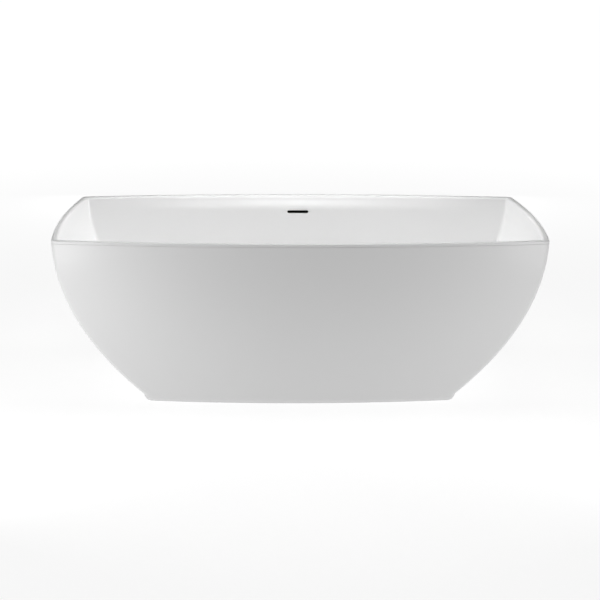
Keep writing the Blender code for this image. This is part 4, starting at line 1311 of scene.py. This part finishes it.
def waste_seals_and_nut():
    floor_bottom = DRAIN_Z - SHEET
    upper = ring(THREAD_R + 0.0026, FLANGE_R - 0.002, DRAIN_Z + 0.0005, FLANGE_SEAT - GAP)
    piece("flange_gasket", lathe("flange_gasket", upper, 64, ease=0.0003), "rubber")
    lower_bottom = floor_bottom - 0.0033
    lower = ring(THREAD_R + GAP, LOWER_GASKET_R, lower_bottom, floor_bottom - GAP)
    piece("lower_gasket", lathe("lower_gasket", lower, 64, ease=0.0007), "rubber")
    top = lower_bottom - GAP
    nut = hexagon_nut("drain_locknut", DRAIN_NUT_R, DRAIN_NUT_HEIGHT, THREAD_R + GAP)
    piece("drain_locknut", nut, "brass", (0, 0, top))


def waste_tee():
    """A moulded tee: fluted collar, neck, barbed branch for the overflow hose, and a web opposite it."""
    thread_r = THREAD_R + GAP
    flutes = grip(16, 0.0010)

    def wave(angle, radius, z):
        return flutes(angle, radius, z) if radius > TEE_R - 0.0012 and 0.094 < z < 0.105 else radius

    outer = [
        (TEE_R - 0.001, TEE_TOP), (TEE_R, TEE_TOP - 0.001), (TEE_R, 0.0945), (TEE_R - 0.0016, 0.0930),
        (TEE_R - 0.0016, 0.057), (TEE_NECK_R + 0.0004, 0.0525), (TEE_NECK_R, 0.050),
    ]
    neck = toothed(TEE_NECK_R, 0.0008, 0.0022, TEE_BOTTOM + 0.0004, 0.0495)
    inner = [
        (TEE_NECK_R - 0.0008, TEE_BOTTOM), (TAIL_R + GAP, TEE_BOTTOM), (TAIL_R + GAP, TEE_SEAT),
        (TEE_BORE_R, TEE_SEAT), (TEE_BORE_R, THREAD_BOTTOM - 0.0010), (thread_r, THREAD_BOTTOM - 0.0010),
        (thread_r, TEE_TOP),
    ]
    body = lathe("tee", outer + neck + inner, 96, ease=0.0004, wave=wave)
    turn = Matrix.Rotation(math.radians(-90), 3, "X")
    body = carved(body, [rod(SPIGOT_BORE_R, 0.034, 0.010, 32, (0, 0, BRANCH_Z), turn)])
    branch_root = TEE_BORE_R + 0.0035
    branch_profile = [
        (SPIGOT_R + 0.0022, branch_root), (SPIGOT_R + 0.0022, TEE_R + 0.0012),
        (SPIGOT_R + 0.0004, TEE_R + 0.0030),
        *barbed(SPIGOT_R, SPIGOT_BORE_R, TEE_R + 0.0034, BRANCH_END_Y)[:-1], (SPIGOT_BORE_R, branch_root),
    ]
    branch = moved(lathe("branch", branch_profile, 40, ease=0.0003), (0, 0, BRANCH_Z), turn)
    rings = [
        lathe("bead", ring(TEE_R - 0.004, TEE_R, z, z + 0.0018), 96, ease=0.0005) for z in (0.0575, 0.0800)
    ]
    web = block("web", (0.0016, 0.0050, 0.030), 0.0005, (0, 0.0026 - TEE_R, 0.074), 2)
    piece("waste_tee", merged("waste_tee", body, branch, *rings, web), "white_plastic")


def tail_pieces():
    tail = [
        (TAIL_R, TAIL_TOP), (TAIL_R, 0.0290), (TAIL_R - 0.0002, 0.0287),
        (TAIL_R - 0.0002, TAIL_BOTTOM + 0.0005), (TAIL_R - 0.0006, TAIL_BOTTOM),
        (TAIL_BORE_R, TAIL_BOTTOM), (TAIL_BORE_R, TAIL_TOP),
    ]
    piece("tailpiece", lathe("tailpiece", tail, 72, ease=0.0002), "white_plastic")
    washer = ring(TAIL_R + GAP, TEE_NECK_R - 0.0004, 0.0369, TEE_BOTTOM - GAP)
    piece("slip_washer", lathe("slip_washer", washer, 64, ease=0.0006), "rubber")
    flutes = grip(20, 0.0012)

    def wave(angle, radius, z):
        return flutes(angle, radius, z) if radius > 0.0265 and 0.0325 < z < 0.0468 else radius

    bore, seat = TAIL_R + GAP, TEE_NECK_R + GAP
    nut = [
        (0.0268, SLIP_NUT_TOP), *((SLIP_NUT_R, z) for z in (0.0476, 0.0468, 0.0462, 0.0332, 0.0325, 0.0317)),
        (0.0266, SLIP_NUT_BOTTOM), (bore, SLIP_NUT_BOTTOM), (bore, 0.0366), (seat, 0.0366),
        (seat, SLIP_NUT_TOP),
    ]
    piece("slip_nut", lathe("slip_nut", nut, 120, ease=0.0003, wave=wave), "white_plastic")


# Stopper


def stopper():
    at = (0, 0, CAP_BOTTOM)
    dome = ((0, 0), (0.006, 0.0001), (0.012, 0.0004), (0.017, 0.00085), (0.022, 0.0015), (0.0262, 0.0025))
    crown = [
        *((radius, CAP_HEIGHT - drop) for radius, drop in dome), (CAP_R - 0.002, 0.0028),
        (CAP_R - 0.0004, 0.0017), (CAP_R, 0.0008), (CAP_R - 0.0006, 0), (CAP_R - 0.003, 0),
        (CAP_R - 0.0035, 0.0006), (0.0085, 0.0006), (0.008, 0), (0, 0),
    ]
    piece("stopper_cap", lathe("cap", crown, 96, closed=False, ease=0.0006), "chrome", at, body="stopper")
    seal = [
        (0.0265, -GAP), (0.0265, -0.0006), (0.0252, -0.0010), (0.0215, -0.0009), (0.020, -0.0010),
        (0.020, -GAP),
    ]
    piece("stopper_seal", lathe("seal", seal, 72, ease=0.0002), "rubber", at, body="stopper")
    bottom = STEM_BOTTOM - CAP_BOTTOM
    stem = [
        (0, -GAP), (0.008, -GAP), (0.008, -0.0038), (0.0072, -0.0044), (STEM_R, -0.006), (STEM_R, -0.014),
        (STEM_R - 0.0007, -0.0145), (STEM_R - 0.0007, -0.0162), (STEM_R, -0.0167), (STEM_R, bottom + 0.0006),
        (STEM_R - 0.0006, bottom), (0, bottom),
    ]
    piece("stopper_stem", lathe("stem", stem, 48, closed=False, ease=0.0003), "brass", at, body="stopper")


def cartridge():
    bore = STEM_R + GAP
    profile = [
        (CARTRIDGE_R - 0.0004, CARTRIDGE_TOP), (CARTRIDGE_R, CARTRIDGE_TOP - 0.0005), (CARTRIDGE_R, 0.1125),
        (CARTRIDGE_R - 0.0005, 0.1121), (CARTRIDGE_R - 0.0005, 0.1112), (CARTRIDGE_R, 0.1108),
        (CARTRIDGE_R, BRIDGE_TOP + 0.004), (0.008, BRIDGE_TOP + 0.004), (0.008, BRIDGE_TOP + GAP),
        (CARTRIDGE_R, BRIDGE_TOP + GAP),
        *toothed(CARTRIDGE_R, 0.0004, 0.001, CARTRIDGE_BOTTOM + 0.001, BRIDGE_TOP - 0.0004),
        (CARTRIDGE_R - 0.0005, CARTRIDGE_BOTTOM), (0, CARTRIDGE_BOTTOM), (0, CARTRIDGE_BOTTOM + 0.003),
        (bore, CARTRIDGE_BOTTOM + 0.003), (bore, CARTRIDGE_TOP - 0.0003), (bore + 0.0003, CARTRIDGE_TOP),
    ]
    piece("click_cartridge", lathe("cartridge", profile, 48, ease=0.0002), "brass")
    bottom, top = CARTRIDGE_BOTTOM + 0.0040, STEM_BOTTOM - 0.0010
    turns, per_turn, coil_r, wire_r = 4, 28, 0.0031, 0.0005
    line = []
    for i in range(turns * per_turn + 1):
        angle = 2 * math.pi * i / per_turn
        share = i / (turns * per_turn)
        line.append(Vector((coil_r * math.cos(angle), coil_r * math.sin(angle), mix(bottom, top, share))))
    rings_at = []
    for i, here in enumerate(line):
        forward = (line[min(i + 1, len(line) - 1)] - line[max(i - 1, 0)]).normalized()
        rings_at.append((here, forward, wire_r))
    piece("cartridge_spring", swept("spring", rings_at, 12), "spring_steel")


# Stage


def stage():
    """A pale floor, brighter towards its far edges, which can't be seen from below. Its white is painted
    light: a dark floor that glows, and the glow fills in the tub's shadow on it.
    """
    mesh = bpy.data.meshes.new("floor")
    mesh.from_pydata([(x, y, 0) for x, y in corners_at(FLOOR_HALF, FLOOR_HALF)], [], [(0, 1, 2, 3)])
    floor = placed("floor", mesh, (0, 0, -FLOOR_DROP))
    f = Finish("floor", Emission_Color=(1, 1, 1, 1))
    f.colour(f.ramp(f.noise(3, 4), [(0.3, grey(FLOOR_COLOUR - 0.01)), (0.7, grey(FLOOR_COLOUR + 0.01))]))
    f.roughness(f.span(f.noise(40, 4), 0.75, 0.95))
    away = f.node("ShaderNodeVectorMath", {0: f.space}, operation="LENGTH").outputs["Value"]
    # Painted light: the floor's own glow is lower near the tub, where it fills in the tub's shadow, and
    # higher far off, where the lamps' light thins.
    glow = f.span(away, FLOOR_GLOW, FLOOR_GLOW_AWAY, FLOOR_GLOW_STARTS, FLOOR_GLOW_ENDS)
    f.tree.links.new(glow, f.shader.inputs["Emission Strength"])
    clear = f.node("ShaderNodeBsdfTransparent").outputs["BSDF"]
    behind = f.node("ShaderNodeNewGeometry").outputs["Backfacing"]
    joined = f.node("ShaderNodeMixShader", {0: behind, 1: f.shader.outputs["BSDF"], 2: clear})
    f.tree.links.new(joined.outputs["Shader"], f.tree.nodes["Material Output"].inputs["Surface"])
    mesh.materials.append(f.material)


def softbox(name, at, aim, size, power, spread=180):
    light = bpy.data.lights.new(name, "AREA")
    light.spread = math.radians(spread)
    light.shape = "RECTANGLE"
    light.size, light.size_y = size
    light.energy = power
    turn = (Vector(aim) - Vector(at)).to_track_quat("-Z", "Y")
    placed(name, light, at, turn).visible_camera = False


def surround():
    """A pale studio: what the camera sees of it is white, and it lights the tub more softly."""
    world = bpy.data.worlds.new("studio")
    bpy.context.scene.world = world
    world.use_nodes = True
    nodes, links = world.node_tree.nodes, world.node_tree.links
    lit = nodes["Background"]
    lit.inputs["Color"].default_value = (1, 1, 1, 1)
    lit.inputs["Strength"].default_value = WORLD_LIGHT
    seen = nodes.new("ShaderNodeBackground")
    seen.inputs["Color"].default_value = (1, 1, 1, 1)
    seen.inputs["Strength"].default_value = WORLD_SEEN
    path = nodes.new("ShaderNodeLightPath")
    joined = nodes.new("ShaderNodeMixShader")
    links.new(path.outputs["Is Camera Ray"], joined.inputs[0])
    links.new(lit.outputs["Background"], joined.inputs[1])
    links.new(seen.outputs["Background"], joined.inputs[2])
    links.new(joined.outputs["Shader"], nodes["World Output"].inputs["Surface"])


def lights():
    """Softboxes: over the near rim, narrow beams into the basin, low at the front's ends, and fill."""
    softbox("over_middle", (0, -0.3, 1.5), (0, -0.299, 0), (1.2, 0.3), 4.8)
    softbox("over_left", (-0.75, -0.3, 1.5), (-0.75, -0.299, 0), (0.4, 0.3), 3.2)
    softbox("over_right", (0.75, -0.3, 1.5), (0.75, -0.299, 0), (0.4, 0.3), 3.0)
    softbox("far_wall", (0, -1.0, 1.6), (0, 0.36, 0.42), (1.7, 0.3), 1.1, spread=34)
    softbox("left_to_right", (-1.7, 0.3, 1.5), (0.80, 0.0, 0.52), (0.8, 0.5), 2.3, spread=40)
    softbox("right_to_left", (1.7, 0.3, 1.5), (-0.80, 0.0, 0.52), (0.8, 0.5), 2.5, spread=40)
    softbox("over_front", (0, -1.6, 2.4), (0, -0.3, 0.3), (2.5, 0.8), 0.6)
    softbox("front_left", (-1.15, -1.05, 0.45), (-0.75, -0.35, 0.35), (0.35, 0.5), 3.2)
    softbox("front_right", (1.15, -1.05, 0.45), (0.75, -0.35, 0.35), (0.35, 0.5), 1.8)
    softbox("left", (-2.3, 0.35, 1.3), (-0.5, 0.35, 0.6), (1.6, 1.2), 2)
    softbox("right", (2.3, 0.35, 1.3), (0.5, 0.35, 0.6), (1.6, 1.2), 2)
    softbox("behind", (0, 3.2, 0.5), (0, 0, 0.4), (3.0, 0.8), 8)


def camera():
    data = bpy.data.cameras.new("camera")
    data.sensor_width = SENSOR
    data.lens = FOCAL_RATIO * SENSOR
    data.clip_start, data.clip_end = 0.05, 200
    obj = placed("camera", data)
    pitch, yaw, roll = CAMERA_PITCH, CAMERA_YAW, CAMERA_ROLL
    forward = Vector((math.cos(pitch) * math.sin(yaw), math.cos(pitch) * math.cos(yaw), -math.sin(pitch)))
    level_right = Vector((math.cos(yaw), -math.sin(yaw), 0))
    level_up = level_right.cross(forward)
    right = level_right * math.cos(roll) + level_up * math.sin(roll)
    up = level_up * math.cos(roll) - level_right * math.sin(roll)
    turn = Matrix((right, up, -forward)).transposed()
    obj.matrix_world = Matrix.Translation(CAMERA_AT) @ turn.to_4x4()
    bpy.context.scene.camera = obj


def carried_over():
    """CAD nodes that keep their own shape take their finish here."""
    for row in frame["record"]["subparts"]:
        node = frame["nodes"][row["node"]]
        if not node.hide_render:
            for slot in node.material_slots:
                slot.material = FINISHES[row["material_slot"]]


for make in (
    shells, overflow_liner, overflow_gasket, overflow_chamber, overflow_hose, hose_clamps, base_board,
    frame_tubes, frame_hardware, levelling_feet, drain_flange, waste_seals_and_nut, waste_tee, tail_pieces,
    stopper, cartridge, carried_over, stage, surround, lights, camera,
):
    make()
bpy.context.scene.view_settings.view_transform = "Standard"
